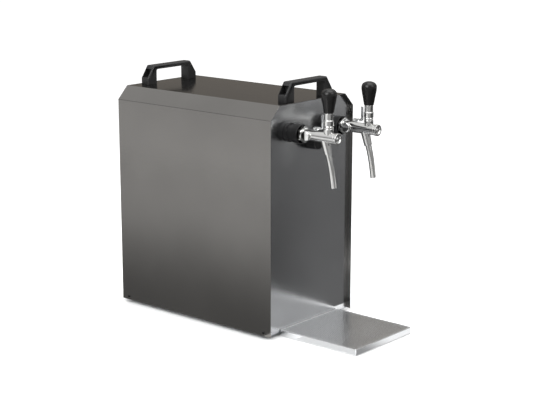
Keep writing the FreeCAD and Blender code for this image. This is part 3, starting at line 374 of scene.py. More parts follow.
def plain_finish(name, tint, rough, metal=0.0, mottle=0.12, mottle_scale=14.0, grain=900.0,
                 grain_height=0.00001, stretch=(1.0, 1.0, 1.0), spread=0.05, **constants):
    """Finish with a slow mottle in its colour, a grain in its relief and both in its gloss."""
    made = Finish(name, Metallic=metal, **constants)
    slow = made.ramp(made.noise(mottle_scale, 4.0), 0.3, 0.7)
    fine = made.noise(grain, 3.0, stretch)
    made.feed("Base Color", made.blend(slow, shade(tint, 1.0 - mottle), shade(tint, 1.0 + mottle)))
    made.feed("Roughness", rough + spread * (slow - 0.5) + spread * (fine - 0.5))
    made.bump(fine, grain_height)
    return made.material


def coat_finish(name, tint, rough, orange_peel, dust, **constants):
    """Coated sheet: orange peel some 2.4 mm wide, a finer grain, a slow cloudiness and specks of
    dust that lighten it and dull its gloss."""
    made = Finish(name, **constants)
    cloud = made.ramp(made.noise(6.0, 3.0), 0.25, 0.75)
    peel = made.noise(420.0, 1.0)
    fine = made.noise(2600.0, 2.0)
    specks = made.ramp(made.noise(700.0, 5.0), 0.68, 0.74)
    base = made.blend(cloud, shade(tint, 0.95), shade(tint, 1.05))
    made.feed("Base Color", made.blend(dust * specks, base, shade(tint, 1.9)))
    made.feed("Roughness", rough + 0.04 * (cloud - 0.5) + 0.05 * (fine - 0.5) + 0.2 * specks * dust)
    made.bump(peel * 0.8 + fine * 0.2, orange_peel)
    return made.material


def plated_finish(name, tint, rough, painted_hole_shade=0.0, **constants):
    """Bright metal with a faint haze, fine hairlines and, where asked for, a dark speckle that is
    painted shade standing in for the dark perforation holes.
    """
    made = Finish(name, Metallic=1.0, **constants)
    haze = made.ramp(made.noise(40.0, 4.0), 0.35, 0.75)
    hair = made.noise(1500.0, 2.0, (1.0, 0.12, 1.0))
    base = made.blend(haze, shade(tint, 1.02), shade(tint, 0.95))
    if painted_hole_shade:
        # Painted shade: random dark specks that stand in for the shade seen down the perforation holes
        specks = painted_hole_shade * made.ramp(made.noise(380.0, 3.0), 0.40, 0.62)
        base = made.blend(specks, base, shade(tint, 0.25))
    made.feed("Base Color", base)
    made.feed("Roughness", rough + 0.05 * haze + 0.04 * (hair - 0.5))
    made.bump(hair, 0.000002)
    return made.material


def brushed_finish(name, tint, rough, along):
    """Steel with brush lines along one axis and a few wider rub marks."""
    made = Finish(name, Metallic=1.0)
    thin, wide = (tuple(share if axis == along else 1.0 for axis in "xyz") for share in (0.03, 0.2))
    lines = made.noise(1800.0, 3.0, thin)
    rubs = made.ramp(made.noise(60.0, 4.0, wide), 0.45, 0.75)
    made.feed("Base Color", made.blend(lines, shade(tint, 0.92), shade(tint, 1.06)))
    made.feed("Roughness", rough + 0.08 * rubs + 0.12 * (lines - 0.5))
    made.bump(lines, 0.000006)
    return made.material


def foam_finish(name, tint):
    """Sprayed foam: rounded cells 2 mm wide with a yellowed cloud."""
    made = Finish(name, Roughness=0.85)
    cells = made.node("ShaderNodeTexVoronoi", None, {"Vector": made.place, "Scale": 450.0})
    cells = Value(made, cells.outputs["Distance"])
    cloud = made.ramp(made.noise(20.0, 4.0), 0.3, 0.7)
    made.feed("Base Color", made.blend(cloud, shade(tint, 0.85), shade(tint, 1.05)))
    made.bump(1.0 - cells, 0.0006)
    return made.material


FINISHES = {}


def make_finishes(colours):
    """Makes the finish of every material slot, and of the pointer."""
    tint = {name: tuple(getattr(colours, name)) for name in
            ("cover", "panel", "handle", "knob", "bush", "chrome", "steel")}
    FINISHES.update({
        "case_paint": coat_finish("Cover coat", tint["cover"], 0.16, 0.000002, 0.2, Metallic=1.0),
        "panel_paint": coat_finish("Panel coat", tint["panel"], 0.19, 0.0000005, 0.1, Metallic=1.0),
        "handle_plastic": plain_finish("Handle moulding", tint["handle"], 0.42, mottle=0.10,
                                       grain=1400.0, grain_height=0.00003, Specular_IOR_Level=0.35),
        "knob_plastic": plain_finish("Knob moulding", tint["knob"], 0.22, mottle=0.08,
                                     grain=900.0, grain_height=0.000006, Specular_IOR_Level=0.25),
        "dial_mark": plain_finish("Pointer paint", (0.62, 0.62, 0.60), 0.4),
        "bush_plastic": plain_finish("Bush moulding", tint["bush"], 0.30, mottle=0.10,
                                     grain=1100.0, grain_height=0.00001, Specular_IOR_Level=0.3),
        "chrome": plated_finish("Tap plating", tint["chrome"], 0.045),
        "spout_steel": plated_finish("Spout plating", tint["chrome"], 0.06),
        "lever_steel": brushed_finish("Flow lever steel", tint["steel"], 0.16, "z"),
        "tray_steel": brushed_finish("Tray steel", tint["steel"], 0.14, "x"),
        # 0.42 is how strongly painted hole shade darkens the grate's colour
        "grate_steel": plated_finish("Grate steel", shade(tint["steel"], 1.32)[:3], 0.32, 0.42,
                                     Coat_Weight=1.0, Coat_Roughness=0.04),
        "screw_steel": plain_finish("Blackened screws", (0.022, 0.022, 0.022), 0.36, 1.0,
                                    grain=2000.0),
        "rubber": plain_finish("Rubber", (0.012, 0.012, 0.012), 0.75, grain=1500.0,
                               grain_height=0.00004),
        "zinc_sheet": plain_finish("Zinc-coated sheet", (0.50, 0.52, 0.54), 0.42, 1.0, mottle=0.18,
                                   mottle_scale=55.0, spread=0.12),
        "black_plastic": plain_finish("Black fittings", (0.014, 0.014, 0.015), 0.38),
        "grey_plastic": plain_finish("Grey fittings", (0.30, 0.31, 0.32), 0.45),
        "brass_pins": plain_finish("Brass pins", (0.70, 0.52, 0.22), 0.25, 1.0),
        "cast_aluminium": plain_finish("Cast aluminium", (0.62, 0.63, 0.64), 0.55, 1.0, grain=700.0,
                                       grain_height=0.00008),
        "foam": foam_finish("Sprayed foam", (0.74, 0.66, 0.42)),
        "line_steel": plated_finish("Beer line steel", (0.66, 0.67, 0.68), 0.16),
        "compressor_paint": plain_finish("Compressor coat", (0.012, 0.012, 0.013), 0.32, grain=500.0,
                                         grain_height=0.00002),
        "fin_aluminium": plain_finish("Fin aluminium", (0.72, 0.73, 0.74), 0.34, 1.0, grain=300.0),
        "motor_paint": plain_finish("Motor coat", (0.05, 0.05, 0.055), 0.45),
        "fan_plastic": plain_finish("Fan moulding", (0.03, 0.03, 0.032), 0.40),
        "copper": plain_finish("Copper pipe", (0.72, 0.35, 0.20), 0.30, 1.0, mottle=0.2,
                               mottle_scale=40.0),
    })


# Pieces of the case
def case_outline(inset, low, reach, steps, closed):
    """Outline of the case in X and Z, drawn in by inset, with its corners softened by reach."""
    half, top = CASE_HALF - inset, CASE_TOP - inset
    share = CHAMFER + inset * CORNER_SHARE
    flat, side = CASE_HALF - share, CASE_TOP - share
    corners = [(-half, low), (-half, side), (-flat, top), (flat, top), (half, side), (half, low)]
    return soften(corners, reach, steps, closed)


def standing(outline, y):
    """Points (x, y, z) of an outline in X and Z."""
    return np.stack([outline[:, 0], np.full(len(outline), y), outline[:, 1]], axis=1)


def cover_shape(reach):
    """Outer outline at both ends and the same drawn in by the sheet, run round the sheet's four
    long edges; the lower edges are closed."""
    outer = case_outline(0.0, CASE_LOW, reach, 6, False)
    inner = case_outline(SHEET, CASE_LOW, reach * 0.55, 6, False)
    grid = np.stack([standing(outer, CASE_FRONT), standing(outer, CASE_REAR),
                     standing(inner, CASE_REAR), standing(inner, CASE_FRONT)])
    columns = grid.shape[1]
    faces = grid_faces(4, columns, True, False)
    faces.append([row * columns for row in range(4)])
    faces.append([row * columns + columns - 1 for row in range(4)])
    return grid.reshape(-1, 3), faces


def lid_shape(face, way, flange):
    """Lid with a bent edge: outlines drawn in by i at depth d, where (i, d) runs from the inside
    of the lid round the flange's edge to its face, and flat caps close the middle."""
    middle = 0.0130
    inner = soften([(middle, SHEET), (SHEET, SHEET), (SHEET, flange)], 0.0012, 5)
    outer = soften([(0.0, flange), (0.0, 0.0), (middle, 0.0)], 0.0009, 6)
    rows = np.concatenate([inner, outer])
    start = SHEET + 0.0001
    grid = [standing(case_outline(start + inset, CASE_LOW + start + inset, 0.0011, 5, True),
                     face + way * depth) for inset, depth in rows]
    return skin(np.stack(grid))


# Pieces of the taps, drawn on x = 0
ACROSS = (1.0, 0.0, 0.0)
FORWARD = (0.0, -1.0, 0.0)
UPWARD = (0.0, 0.0, 1.0)


def bush_shape(turns, edge):
    """Stepped bush turned about the tap's axis: flange, neck and a cup that holds the nut."""
    bore, flange, neck, rim, cup = 0.0107, 0.0192, 0.0168, 0.0193, 0.01775
    seat, end = PANEL_Y - BUSH_END, PANEL_Y - CUP_FRONT
    profile = [(0.0, bore), (0.0, flange), (0.0055, flange), (0.0060, neck), (seat - 0.0005, neck),
               (seat, rim), (end, rim), (end, cup), (seat, cup), (seat, bore)]
    profile = soften(profile, edge * 1.8, 5)
    return turned(profile, (0.0, PANEL_Y, TAP_Z), FORWARD, turns)


def shank_shape(turns, edge):
    """Shank turned about the tap's axis, from its back end inside the case: shaft, round shoulder
    in the bush's cup and thread inside the nut."""
    back, end, shaft, shoulder, thread = -0.060, 0.0935, 0.0104, 0.0174, 0.0114
    profile = [(0.0, 0.0), (0.0, shaft), (0.0755, shaft), (0.0765, shoulder), (0.0815, shoulder),
               (0.0825, thread), (end, thread), (end, 0.0)]
    profile = soften(profile, edge * 2.0, 5)
    return turned(profile, (0.0, back, TAP_Z), FORWARD, turns)


def barrel_shape(turns, edge):
    """Barrel, cross boss, top post and spout sleeve, each turned about its own axis and closed
    inside; the sleeve's root is hidden in the barrel."""
    end, radius = NUT_FRONT - BARREL_FRONT, 0.01075
    barrel = soften([(0.0, 0.0), (0.0, 0.0092), (0.0028, 0.0096), (0.0044, radius),
                     (end, radius), (end, 0.0)], edge * 1.5, 5)
    boss = soften([(0.0, 0.0), (0.0, 0.0089), (0.0010, 0.0099), (0.0287, 0.0099),
                   (0.0297, 0.0089), (0.0297, 0.0)], edge * 1.5, 5)
    post = soften([(0.0, 0.0), (0.0, 0.0083), (0.0160, 0.0083), (0.0160, 0.0)], edge, 3)
    start = np.array([0.0, LEVER_Y + 0.0075, TAP_Z - 0.008])
    knee = np.array([0.0, LEVER_Y, TAP_Z - 0.033])
    run, root = float(np.linalg.norm(knee - start)), 0.008
    way = (knee - start) / run
    sleeve = soften([(0.0, 0.0), (0.0, 0.0094), (run + root, 0.0079), (run + root, 0.0)],
                    edge * 2.0, 5)
    return joined(turned(barrel, (0.0, NUT_FRONT, TAP_Z), FORWARD, turns),
                  turned(boss, (-0.0150, CROSS_Y, TAP_Z), ACROSS, turns),
                  turned(post, (0.0, LEVER_Y, TAP_Z), UPWARD, turns),
                  turned(sleeve, start - way * root, way, turns))


def cap_shape(turns, edge):
    """Front cap turned about the tap's axis: a rim, a dished face and a small hub in its middle."""
    end = BARREL_FRONT - CAP_FRONT
    profile = [(0.0, 0.0), (0.0, 0.0115), (end, 0.0115), (end, 0.0078), (end - 0.0026, 0.0066),
               (end - 0.0026, 0.0038), (end - 0.0006, 0.0032), (end - 0.0006, 0.0)]
    return turned(soften(profile, edge * 2.2, 5), (0.0, BARREL_FRONT, TAP_Z), FORWARD, turns)


def collar_shape(turns, edge):
    """Ball collar, closed inside: a ring foot, a drawn-in neck and a dome of radius 9.4 mm about
    the pivot."""
    angle, radius = np.radians(np.linspace(0.0, 48.0, 14)), 0.0094
    dome = np.stack([radius * np.sin(angle), radius * np.cos(angle)], axis=1)
    foot = [(-0.0110, 0.0), (-0.0110, 0.0096), (-0.0022, 0.0096), (-0.0014, 0.0092), dome[0]]
    top = (dome[-1, 0], 0.0)
    profile = np.concatenate([soften(foot, edge * 1.5, 4)[:-1], dome, [top]])
    return turned(profile, (0.0, LEVER_Y, PIVOT_Z), UPWARD, turns)


def ferrule_shape(turns, edge):
    """Ferrule and the sleeve above it: rings of radius 9.7 and 8.75 mm with a step between, over a
    hollow of radius 9.7 mm about the pivot that swings round the collar's dome."""
    angle, radius, ring, sleeve = np.radians(np.linspace(0.0, 64.0, 12)), 0.0097, 0.0097, 0.00875
    hollow = np.stack([radius * np.cos(angle), radius * np.sin(angle)], axis=1)
    outside = [(0.0042, sleeve), (0.0042, ring), (0.0144, ring), (0.0154, sleeve),
               (0.0290, sleeve), (0.0290, 0.0)]
    profile = np.concatenate([hollow, soften(outside, edge * 1.6, 5)])
    return turned(profile, (0.0, LEVER_Y, PIVOT_Z), UPWARD, turns)


def stem_shape(turns):
    """Lever stem: ball of radius 5 mm on the pivot, arm and tip below it and shaft above it."""
    angle, radius = np.radians(np.linspace(18.0, 162.0, 22)), 0.005
    ball = np.stack([-radius * np.cos(angle), radius * np.sin(angle)], axis=1)
    arm, end = 0.018, 0.0027
    tip = np.stack([-arm - end * np.cos(angle), end * np.sin(angle)], axis=1)
    shaft = [(0.050, 0.0030), (0.050, 0.0)]
    profile = np.concatenate([[(-arm - end, 0.0)], tip, ball, shaft])
    return turned(profile, (0.0, LEVER_Y, PIVOT_Z), UPWARD, turns)


def knob_shape(turns, edge):
    """Tap knob: a flowing curve from its foot over a shoulder to a domed crown, turned about the
    lever's axis."""
    flare = flowing([(0.0008, 0.0099), (0.0080, 0.0112), (0.0160, 0.0126), (0.0270, 0.0147),
                     (0.0345, 0.0155), (0.0388, 0.0152), (0.0424, 0.0137), (0.0455, 0.0102),
                     (0.0472, 0.0057), (0.0480, 0.0)], 8)
    foot = soften([(0.0, 0.0), (0.0, 0.0092), (0.0008, 0.0099)], edge, 3)[:-1]
    profile = np.concatenate([foot, flare])
    return turned(profile, (0.0, LEVER_Y, KNOB_Z), UPWARD, turns)


def spout_shape(turns):
    """Bent spout: circles along a flowing path out of the sleeve to the mouth, and narrower ones
    back up inside for 36 mm, where a flat cap closes the bore."""
    route = [(0.0, LEVER_Y + 0.0026, 0.398), (0.0, LEVER_Y - 0.0005, 0.385),
             (0.0, LEVER_Y - 0.0043, 0.372), (0.0, LEVER_Y - 0.0084, 0.354),
             (0.0, LEVER_Y - 0.0112, 0.338), (0.0, LEVER_Y - 0.0140, 0.320)]
    path = flowing(route, 10)
    fall = np.linspace(0.0, 1.0, len(path))
    outer = 0.00645 - 0.00065 * np.minimum(1.0, fall * 1.6)
    bored, inner = 22, 0.0049
    outside = swept(path, outer, ACROSS, turns)
    inside = swept(path[-bored:], np.full(bored, inner), ACROSS, turns)[::-1]
    return skin(np.concatenate([outside, inside]))


# Thermostat knob
def dial_shape(turns, edge):
    """Round knob turned about its axis: grip with a soft shoulder and a face set back in its rim."""
    profile = [(0.0, 0.0), (0.0, 0.0151), (0.0006, 0.0155), (0.0228, 0.0150), (0.0241, 0.0142),
               (0.0250, 0.0131), (0.0250, 0.0117), (0.0245, 0.0111), (0.0245, 0.0)]
    return turned(soften(profile, edge * 1.4, 5), (0.0, DIAL_BACK, DIAL_Z), FORWARD, turns)


def mark_shape():
    """Pointer bar on the knob's face: a rounded bar drawn as outlines that shrink as they rise."""
    half, low, high = 0.0006, 0.0030, 0.0105
    bar = soften([(-half, low), (half, low), (half, high), (-half, high)], 0.0005, 4, True)
    middle = bar.mean(axis=0)
    rows = []
    for share, out in ((1.0, 0.0243), (1.0, 0.0248), (0.8, 0.02495)):
        ring = middle + (bar - middle) * share
        rows.append(standing(ring + (0.0, DIAL_Z), DIAL_BACK - out))
    return skin(np.stack(rows))


# Drip tray
def plan_ring(inset, z, half, front, rear, radius, steps):
    """Round-cornered rectangle drawn in by inset at height z: corner centre + rho (cos u, sin u)."""
    rho = max(radius - inset, 0.0003)
    u = np.linspace(0.0, np.pi / 2, steps)
    corners = []
    for turn, (sx, sy) in enumerate(((1, 1), (-1, 1), (-1, -1), (1, -1))):
        centre = np.array([sx * (half - inset - rho), (rear if sy > 0 else front) - sy * (inset + rho)])
        angle = u + turn * np.pi / 2
        corners.append(centre + rho * np.stack([np.cos(angle), np.sin(angle)], axis=1))
    ring = np.concatenate(corners)
    return np.concatenate([ring, np.full((len(ring), 1), z)], axis=1)


def tray_shape():
    """Pressed tray: plan outlines drawn in by i at height z, where (i, z) runs along the section
    floor, wall, rolled rim, wall, floor, and flat caps close the floor."""
    outside, inside, floor, neck = 0.0005, 0.0014, 0.0010, TRAY_TOP - 0.0020
    outer = soften([(0.0045, 0.0), (outside, 0.0), (outside, neck)], 0.0014, 6)
    lip = [(0.0002, TRAY_TOP - 0.0016), (0.0, TRAY_TOP - 0.0010), (0.0003, TRAY_TOP - 0.0003),
           (0.0009, TRAY_TOP), (0.0014, TRAY_TOP - 0.0003), (0.0016, TRAY_TOP - 0.0010)]
    lip = flowing(lip, 3)
    inner = soften([(inside, neck), (inside, floor), (0.0060, floor)], 0.0010, 6)
    section = np.concatenate([outer, lip, inner])
    grid = [plan_ring(inset, z, TRAY_HALF, TRAY_FRONT, TRAY_REAR, 0.0030, 8) for inset, z in section]
    return skin(np.stack(grid))


def grate_shape(pitch, share):
    """Perforated insert. Each hole has its own cell, pitch wide and 0.866 pitch deep, and every
    second row of cells is shifted by half a pitch; 12 points on the hole meet 12 points on the
    cell's edge, above and below, and plain strips fill the margins. A skirt stands round it."""
    gap, margins = 0.0014, 0.012
    half, front, rear = TRAY_HALF - gap, TRAY_FRONT + gap, TRAY_REAR - gap
    top, low = TRAY_TOP - 0.0006, TRAY_TOP - 0.0016
    deep = pitch * 0.866
    columns = int((2 * half - margins) / pitch)
    rows = int((rear - front - margins) / deep)
    hole, sides = pitch * share / 2, 12
    u = np.radians(np.arange(sides) * 30.0)
    inside = np.stack([np.cos(u), np.sin(u)], axis=1) * hole
    w, d = pitch / 2, deep / 2
    outside = np.array([(w, 0), (w, d * 0.5), (w, d), (0, d), (-w, d), (-w, d * 0.5), (-w, 0),
                        (-w, -d * 0.5), (-w, -d), (0, -d), (w, -d), (w, -d * 0.5)])
    i, j = np.meshgrid(np.arange(rows), np.arange(columns), indexing="ij")
    shift = np.where(i % 2 == 1, w / 2, -w / 2)
    centre = np.stack([(j - (columns - 1) / 2) * pitch + shift,
                       (front + rear) / 2 + (i - (rows - 1) / 2) * deep], axis=-1).reshape(-1, 1, 2)
    count = len(centre)
    layers = []
    for plan, z in ((outside, top), (inside, top), (inside, low), (outside, low)):
        ring = centre + plan
        layers.append(np.concatenate([ring, np.full((count, sides, 1), z)], axis=2))
    points = np.stack(layers, axis=1).reshape(-1, 3)
    one = np.array(grid_faces(len(layers), sides))
    starts = np.arange(count) * len(layers) * sides
    faces = (one[None] + starts[:, None, None]).reshape(-1, 4).tolist()
    x_edge, y_edge = columns * pitch / 2, rows * deep / 2
    wide, narrow, mid = x_edge + w / 2, x_edge - w / 2, (front + rear) / 2
    strips = [(-half, -wide, front, rear), (wide, half, front, rear),
              (-wide, wide, front, mid - y_edge), (-wide, wide, mid + y_edge, rear)]
    for row in range(rows):
        y0 = mid + (row - rows / 2) * deep
        strips.append((-wide, -narrow, y0, y0 + deep) if row % 2 else (narrow, wide, y0, y0 + deep))
    shapes = [(points, faces)]
    for x0, x1, y0, y1 in strips:
        shapes.append(skin(np.array([lying(x0, x1, y0, y1, z) for z in (low, top)])))
    foot, ridge = 0.0011, top + 0.00002
    section = [(0.0, foot), (0.0, top - 0.0010), (0.0003, top - 0.0003), (0.0010, ridge),
               (0.0016, ridge), (0.0016, low), (0.0009, low - 0.0006), (0.0009, foot)]
    wall = [plan_ring(inset, z, half, front, rear, 0.0020, 6) for inset, z in section]
    shapes.append(skin(np.stack(wall), round_rows=True))
    return joined(*shapes)


# Operators
def sizes():
    """The sizes that a user can change."""
    return bpy.context.scene.cooler_sizes


class COOLER_OT_finishes(bpy.types.Operator):
    """Make every finish and dress the CAD nodes"""
    bl_idname = "cooler.finishes"
    bl_label = "Finishes"

    def execute(self, context):
        make_finishes(context.scene.cooler_colours)
        for part in frame["record"]["subparts"]:
            mesh = frame["nodes"][part["node"]].data
            mesh.materials.clear()
            mesh.materials.append(FINISHES[part["material_slot"]])
        return {"FINISHED"}


class COOLER_OT_cover(bpy.types.Operator):
    """Fold the cover"""
    bl_idname = "cooler.cover"
    bl_label = "Cover"

    def execute(self, context):
        piece("cover_sheet", cover_shape(sizes().fold), FINISHES["case_paint"], "case", ["cover"],
              sharp=40.0, bevel=0.0004)
        return {"FINISHED"}


class COOLER_OT_panel(bpy.types.Operator):
    """Press the front panel"""
    bl_idname = "cooler.panel"
    bl_label = "Front panel"

    def execute(self, context):
        piece("front_lid", lid_shape(PANEL_Y, 1.0, 0.020), FINISHES["panel_paint"], "case",
              ["front_panel"], sharp=40.0)
        return {"FINISHED"}


class COOLER_OT_handles(bpy.types.Operator):
    """Mould the two carrying handles"""
    bl_idname = "cooler.handles"
    bl_label = "Carrying handles"

    def execute(self, context):
        for end in ("front", "rear"):
            copied(end + "_grip", end + "_handle", FINISHES["handle_plastic"], "case",
                   sharp=28.0, bevel=0.0006)
        return {"FINISHED"}


class COOLER_OT_tap_mounts(bpy.types.Operator):
    """Turn the bush, shank and nut of each tap"""
    bl_idname = "cooler.tap_mounts"
    bl_label = "Tap mounts"

    def execute(self, context):
        turns, edge = sizes().turns, sizes().edge
        for side, x in SIDES:
            piece(side + "_bush", moved(bush_shape(turns, edge), x), FINISHES["bush_plastic"], "case",
                  [side + "_tap_bush"])
            piece(side + "_shank", moved(shank_shape(turns, edge), x), FINISHES["chrome"], "case",
                  [side + "_tap_shank"])
            copied(side + "_nut", side + "_tap_nut", FINISHES["chrome"], "case",
                   sharp=24.0, bevel=0.0003)
        return {"FINISHED"}


class COOLER_OT_barrels(bpy.types.Operator):
    """Turn the barrel, cap and ball collar of each tap"""
    bl_idname = "cooler.barrels"
    bl_label = "Barrels"

    def execute(self, context):
        turns, edge = sizes().turns, sizes().edge
        for side, x in SIDES:
            for name, make in (("body", barrel_shape), ("cap", cap_shape),
                               ("collar", collar_shape)):
                piece(side + "_" + name, moved(make(turns, edge), x), FINISHES["chrome"], "case",
                      [side + "_tap_" + name])
        return {"FINISHED"}


class COOLER_OT_levers(bpy.types.Operator):
    """Turn the stem, ferrule and knob of each tap"""
    bl_idname = "cooler.levers"
    bl_label = "Tap levers"

    def execute(self, context):
        turns, edge = sizes().turns, sizes().edge
        for side, x in SIDES:
            body = side + "_handle"
            piece(side + "_stem", moved(stem_shape(turns), x), FINISHES["chrome"], body,
                  [side + "_tap_stem"])
            piece(side + "_ferrule", moved(ferrule_shape(turns, edge), x), FINISHES["chrome"], body,
                  [side + "_tap_ferrule"])
            piece(side + "_knob", moved(knob_shape(turns, edge), x), FINISHES["knob_plastic"], body,
                  [side + "_tap_knob"])
        return {"FINISHED"}


class COOLER_OT_spouts(bpy.types.Operator):
    """Bend the spout of each tap"""
    bl_idname = "cooler.spouts"
    bl_label = "Spouts"

    def execute(self, context):
        for side, x in SIDES:
            piece(side + "_spout", moved(spout_shape(sizes().turns // 2), x), FINISHES["spout_steel"],
                  "case", [side + "_tap_spout"])
        return {"FINISHED"}


class COOLER_OT_flow_levers(bpy.types.Operator):
    """Press the flow lever of each tap"""
    bl_idname = "cooler.flow_levers"
    bl_label = "Flow levers"

    def execute(self, context):
        for side, _ in SIDES:
            copied(side + "_flow_plate", side + "_flow_lever", FINISHES["lever_steel"],
                   side + "_flow_control", sharp=28.0, bevel=0.0003)
        return {"FINISHED"}


class COOLER_OT_dial(bpy.types.Operator):
    """Turn the thermostat knob"""
    bl_idname = "cooler.dial"
    bl_label = "Thermostat knob"

    def execute(self, context):
        piece("dial_grip", dial_shape(sizes().turns, sizes().edge), FINISHES["knob_plastic"],
              "thermostat_dial", ["thermostat_knob"])
        piece("dial_mark", mark_shape(), FINISHES["dial_mark"], "thermostat_dial", [])
        return {"FINISHED"}


class COOLER_OT_tray(bpy.types.Operator):
    """Press the drip tray and punch its insert"""
    bl_idname = "cooler.tray"
    bl_label = "Drip tray"

    def execute(self, context):
        piece("tray_pan", tray_shape(), FINISHES["tray_steel"], "tray", ["drip_tray"],
              sharp=40.0)
        piece("tray_insert", grate_shape(sizes().pitch, sizes().hole_share), FINISHES["grate_steel"],
              "grate", ["drip_grate"], sharp=40.0)
        return {"FINISHED"}


# Studio
STUDIO_MIDDLE = (0.0, 0.086, 0.25)
CAMERA_PLACE = (-2.1494, -1.8433, 0.9062)
CAMERA_AIM = (0.111512, 0.086, 0.206391)
FOCAL_PIXELS, PHOTO_WIDTH = 1381.33, 537.0
SENSOR_WIDTH = 36.0
CARD_Z = 0.016


def grey(level):
    """Colour with the same level in all three channels."""
    return (level, level, level)


def area_lamp(name, place, target, width, height, power):
    """Rectangular lamp at a place, turned to a target."""
    lamp = bpy.data.lights.new(name, "AREA")
    lamp.shape, lamp.size, lamp.size_y, lamp.energy = "RECTANGLE", width, height, power
    obj = bpy.data.objects.new(name, lamp)
    obj.location = place
    obj.rotation_euler = (Vector(target) - Vector(place)).to_track_quat("-Z", "Y").to_euler()
    bpy.context.scene.collection.objects.link(obj)


def mirror_card(name, corners, way, start, end, near, far):
    """A card that only metal mirrors; the camera doesn't see it and it stops no light. Its glow
    goes smoothly from near to far between the distances start and end along way."""
    mesh = bpy.data.meshes.new(name)
    mesh.from_pydata(corners, [], [(0, 1, 2, 3)])
    obj = bpy.data.objects.new(name, mesh)
    card = Finish(name, Base_Color=(0.0, 0.0, 0.0, 1.0), Specular_IOR_Level=0.0,
                  Emission_Strength=1.0)
    run = card.node("ShaderNodeVectorMath", {"operation": "DOT_PRODUCT"}, {0: card.place, 1: way})
    share = card.ramp(run.outputs["Value"], start, end)
    card.feed("Emission Color", card.blend(share, (*near, 1.0), (*far, 1.0)))
    mesh.materials.append(card.material)
    bpy.context.scene.collection.objects.link(obj)
    obj.visible_camera = obj.visible_diffuse = obj.visible_shadow = False


def upright(start, end, low, high):
    """Corners of a card that stands on the line from start to end."""
    return [(*start, low), (*end, low), (*end, high), (*start, high)]


# Cards: name, corners, direction of the run, its start and end, glow at the start and at the end
SLANT = (0.632, 0.740, 0)
CARDS = (
    ("Front card", lying(-0.14, 3.0, -3.2, -0.316, CARD_Z), SLANT, -0.208, -0.044, grey(0.085),
     grey(0.18)),
    ("Right card", lying(0.096, 3.0, -0.316, -0.125, CARD_Z), SLANT, -0.208, -0.044, grey(0.085),
     grey(0.18)),
    ("Tray card", lying(-0.098, 0.3, -0.40, -0.3145, 0.001), ACROSS, -0.065, 0.045, grey(0.40),
     grey(1.3)),
    ("Wall card", lying(-0.14, -0.097, -0.314, -0.16, 0.001), ACROSS, -0.2, 0.2, grey(1.05),
     grey(1.05)),
    ("Camera card", lying(-3.4, -0.14, -3.2, -0.36, CARD_Z), ACROSS, -0.2, -1.0, grey(0.25),
     grey(0.50)),
    ("Side card", lying(-1.64, -0.14, -0.10, 2.2, 0.003), ACROSS, -0.14, -1.00, grey(0.30),
     grey(1.0)),
    ("Rear card", upright((0.6, 3.4), (3.8, 0.6), 0.05, 2.2), UPWARD, 0.2, 1.6,
     (0.18, 0.165, 0.145), (0.24, 0.22, 0.20)),
    ("Back card", lying(0.15, 3.2, -0.10, 3.0, CARD_Z), ACROSS, 0.15, 1.5, grey(0.05), grey(0.20)),
    ("Right flag", upright((3.0, -1.0), (3.4, 0.4), 0.02, 1.5), UPWARD, 0.2, 1.6, grey(0.05),
     grey(0.05)),
)


def make_backdrop(scene):
    """World that the camera sees white. Mirrors and glass see it grey low down and white where a
    ray rises by 0.6 of its length or more, and all else takes a soft grey fill from it."""
    world = bpy.data.worlds.new("Studio")
    world.use_nodes = True
    made = Nodes(world.node_tree)
    path = made.node("ShaderNodeLightPath").outputs
    camera = Value(made, path["Is Camera Ray"])
    seen = camera + Value(made, path["Is Glossy Ray"]) + Value(made, path["Is Transmission Ray"])
    way = made.node("ShaderNodeTexCoord").outputs["Generated"]
    rise = made.node("ShaderNodeSeparateXYZ", None, {"Vector": way}).outputs["Z"]
    sky = made.node("ShaderNodeMapRange", None, {"Value": rise, "From Min": 0.1, "From Max": 0.6,
                                                 "To Min": 0.35, "To Max": 1.0})
    bright = camera.sum("MAXIMUM", Value(made, sky.outputs["Result"]), camera)
    background = world.node_tree.nodes["Background"].inputs
    world.node_tree.links.new(made.blend(seen, (*grey(0.45), 1.0), bright), background["Color"])
    background["Strength"].default_value = 1.0
    scene.world = world


def make_floor(tint):
    """A wide plain floor that takes the object's shadow. The camera, mirrors and glass see it near
    white, by a glow that goes out where something stands close over it: that dimming is a painted
    contact shadow from ambient occlusion."""
    far = 30.0
    mesh = bpy.data.meshes.new("Floor")
    mesh.from_pydata(lying(-far, far, -far, far, 0.0), [], [(0, 1, 2, 3)])
    obj = bpy.data.objects.new("Floor", mesh)
    made = Finish("Floor", Roughness=0.9, Specular_IOR_Level=0.0, Emission_Strength=1.0)
    made.feed("Base Color", made.blend(made.noise(3.0), shade(tint, 0.99), shade(tint, 1.01)))
    path = made.node("ShaderNodeLightPath").outputs
    camera = Value(made, path["Is Camera Ray"])
    seen = camera + Value(made, path["Is Glossy Ray"]) + Value(made, path["Is Transmission Ray"])
    open_sky = made.node("ShaderNodeAmbientOcclusion", {"samples": 8}, {"Distance": 0.05})
    open_sky = Value(made, open_sky.outputs["AO"])
    # Painted contact shadow: the glow is cut by ambient occlusion cubed near the object
    seen = seen * open_sky * open_sky * open_sky
    made.feed("Emission Color", made.blend(seen, (*grey(0.0), 1.0), (*grey(0.70), 1.0)))
    mesh.materials.append(made.material)
    bpy.context.scene.collection.objects.link(obj)


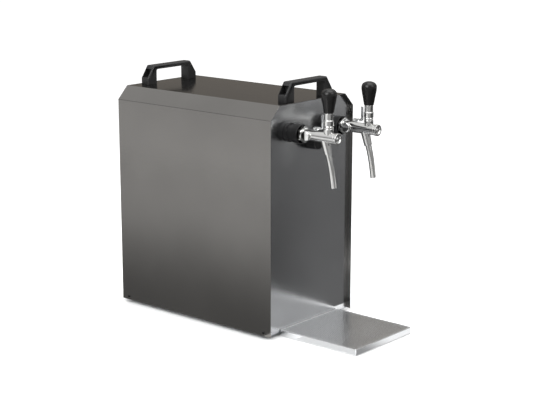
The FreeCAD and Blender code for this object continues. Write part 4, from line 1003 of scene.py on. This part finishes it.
class COOLER_OT_studio(bpy.types.Operator):
    """Set the floor, the lamps and the camera"""
    bl_idname = "cooler.studio"
    bl_label = "Studio"

    def execute(self, context):
        scene = context.scene
        make_backdrop(scene)
        make_floor(tuple(scene.cooler_colours.floor))
        area_lamp("Key", (-1.5, -0.2, 1.3), STUDIO_MIDDLE, 1.2, 1.2, 28.0)
        area_lamp("Top", (0.1, -0.3, 2.2), STUDIO_MIDDLE, 1.6, 1.6, 26.0)
        area_lamp("Fill", (0.1, -2.3, 1.7), STUDIO_MIDDLE, 1.4, 1.4, 16.0)
        for card in CARDS:
            mirror_card(*card)
        lens = bpy.data.cameras.new("Camera")
        lens.sensor_width = SENSOR_WIDTH
        lens.lens = SENSOR_WIDTH * FOCAL_PIXELS / PHOTO_WIDTH
        lens.clip_end = 100.0
        camera = bpy.data.objects.new("Camera", lens)
        camera.location = CAMERA_PLACE
        aim = Vector(CAMERA_AIM) - camera.location
        camera.rotation_euler = aim.to_track_quat("-Z", "Y").to_euler()
        scene.collection.objects.link(camera)
        scene.camera = camera
        scene.view_settings.view_transform = "Standard"
        return {"FINISHED"}


OPERATORS = (COOLER_OT_finishes, COOLER_OT_cover, COOLER_OT_panel, COOLER_OT_handles,
             COOLER_OT_tap_mounts, COOLER_OT_barrels, COOLER_OT_levers, COOLER_OT_spouts,
             COOLER_OT_flow_levers, COOLER_OT_dial, COOLER_OT_tray, COOLER_OT_studio)


class COOLER_PT_pieces(bpy.types.Panel):
    """Lists the pieces with their sizes and colours"""
    bl_label = "Beer cooler"
    bl_idname = "COOLER_PT_pieces"
    bl_space_type = "VIEW_3D"
    bl_region_type = "UI"
    bl_category = "Cooler"

    def draw(self, context):
        for group in (context.scene.cooler_colours, context.scene.cooler_sizes):
            for name in group.__annotations__:
                self.layout.prop(group, name)
        for operator in OPERATORS:
            self.layout.operator(operator.bl_idname)


CLASSES = (CoolerColours, CoolerSizes) + OPERATORS + (COOLER_PT_pieces,)


def register():
    for made in CLASSES:
        bpy.utils.register_class(made)
    bpy.types.Scene.cooler_colours = PointerProperty(type=CoolerColours)
    bpy.types.Scene.cooler_sizes = PointerProperty(type=CoolerSizes)


def unregister():
    del bpy.types.Scene.cooler_sizes
    del bpy.types.Scene.cooler_colours
    for made in reversed(CLASSES):
        bpy.utils.unregister_class(made)


def main():
    register()
    for operator in OPERATORS:
        group, name = operator.bl_idname.split(".")
        getattr(getattr(bpy.ops, group), name)()


if __name__ == "__main__":
    main()
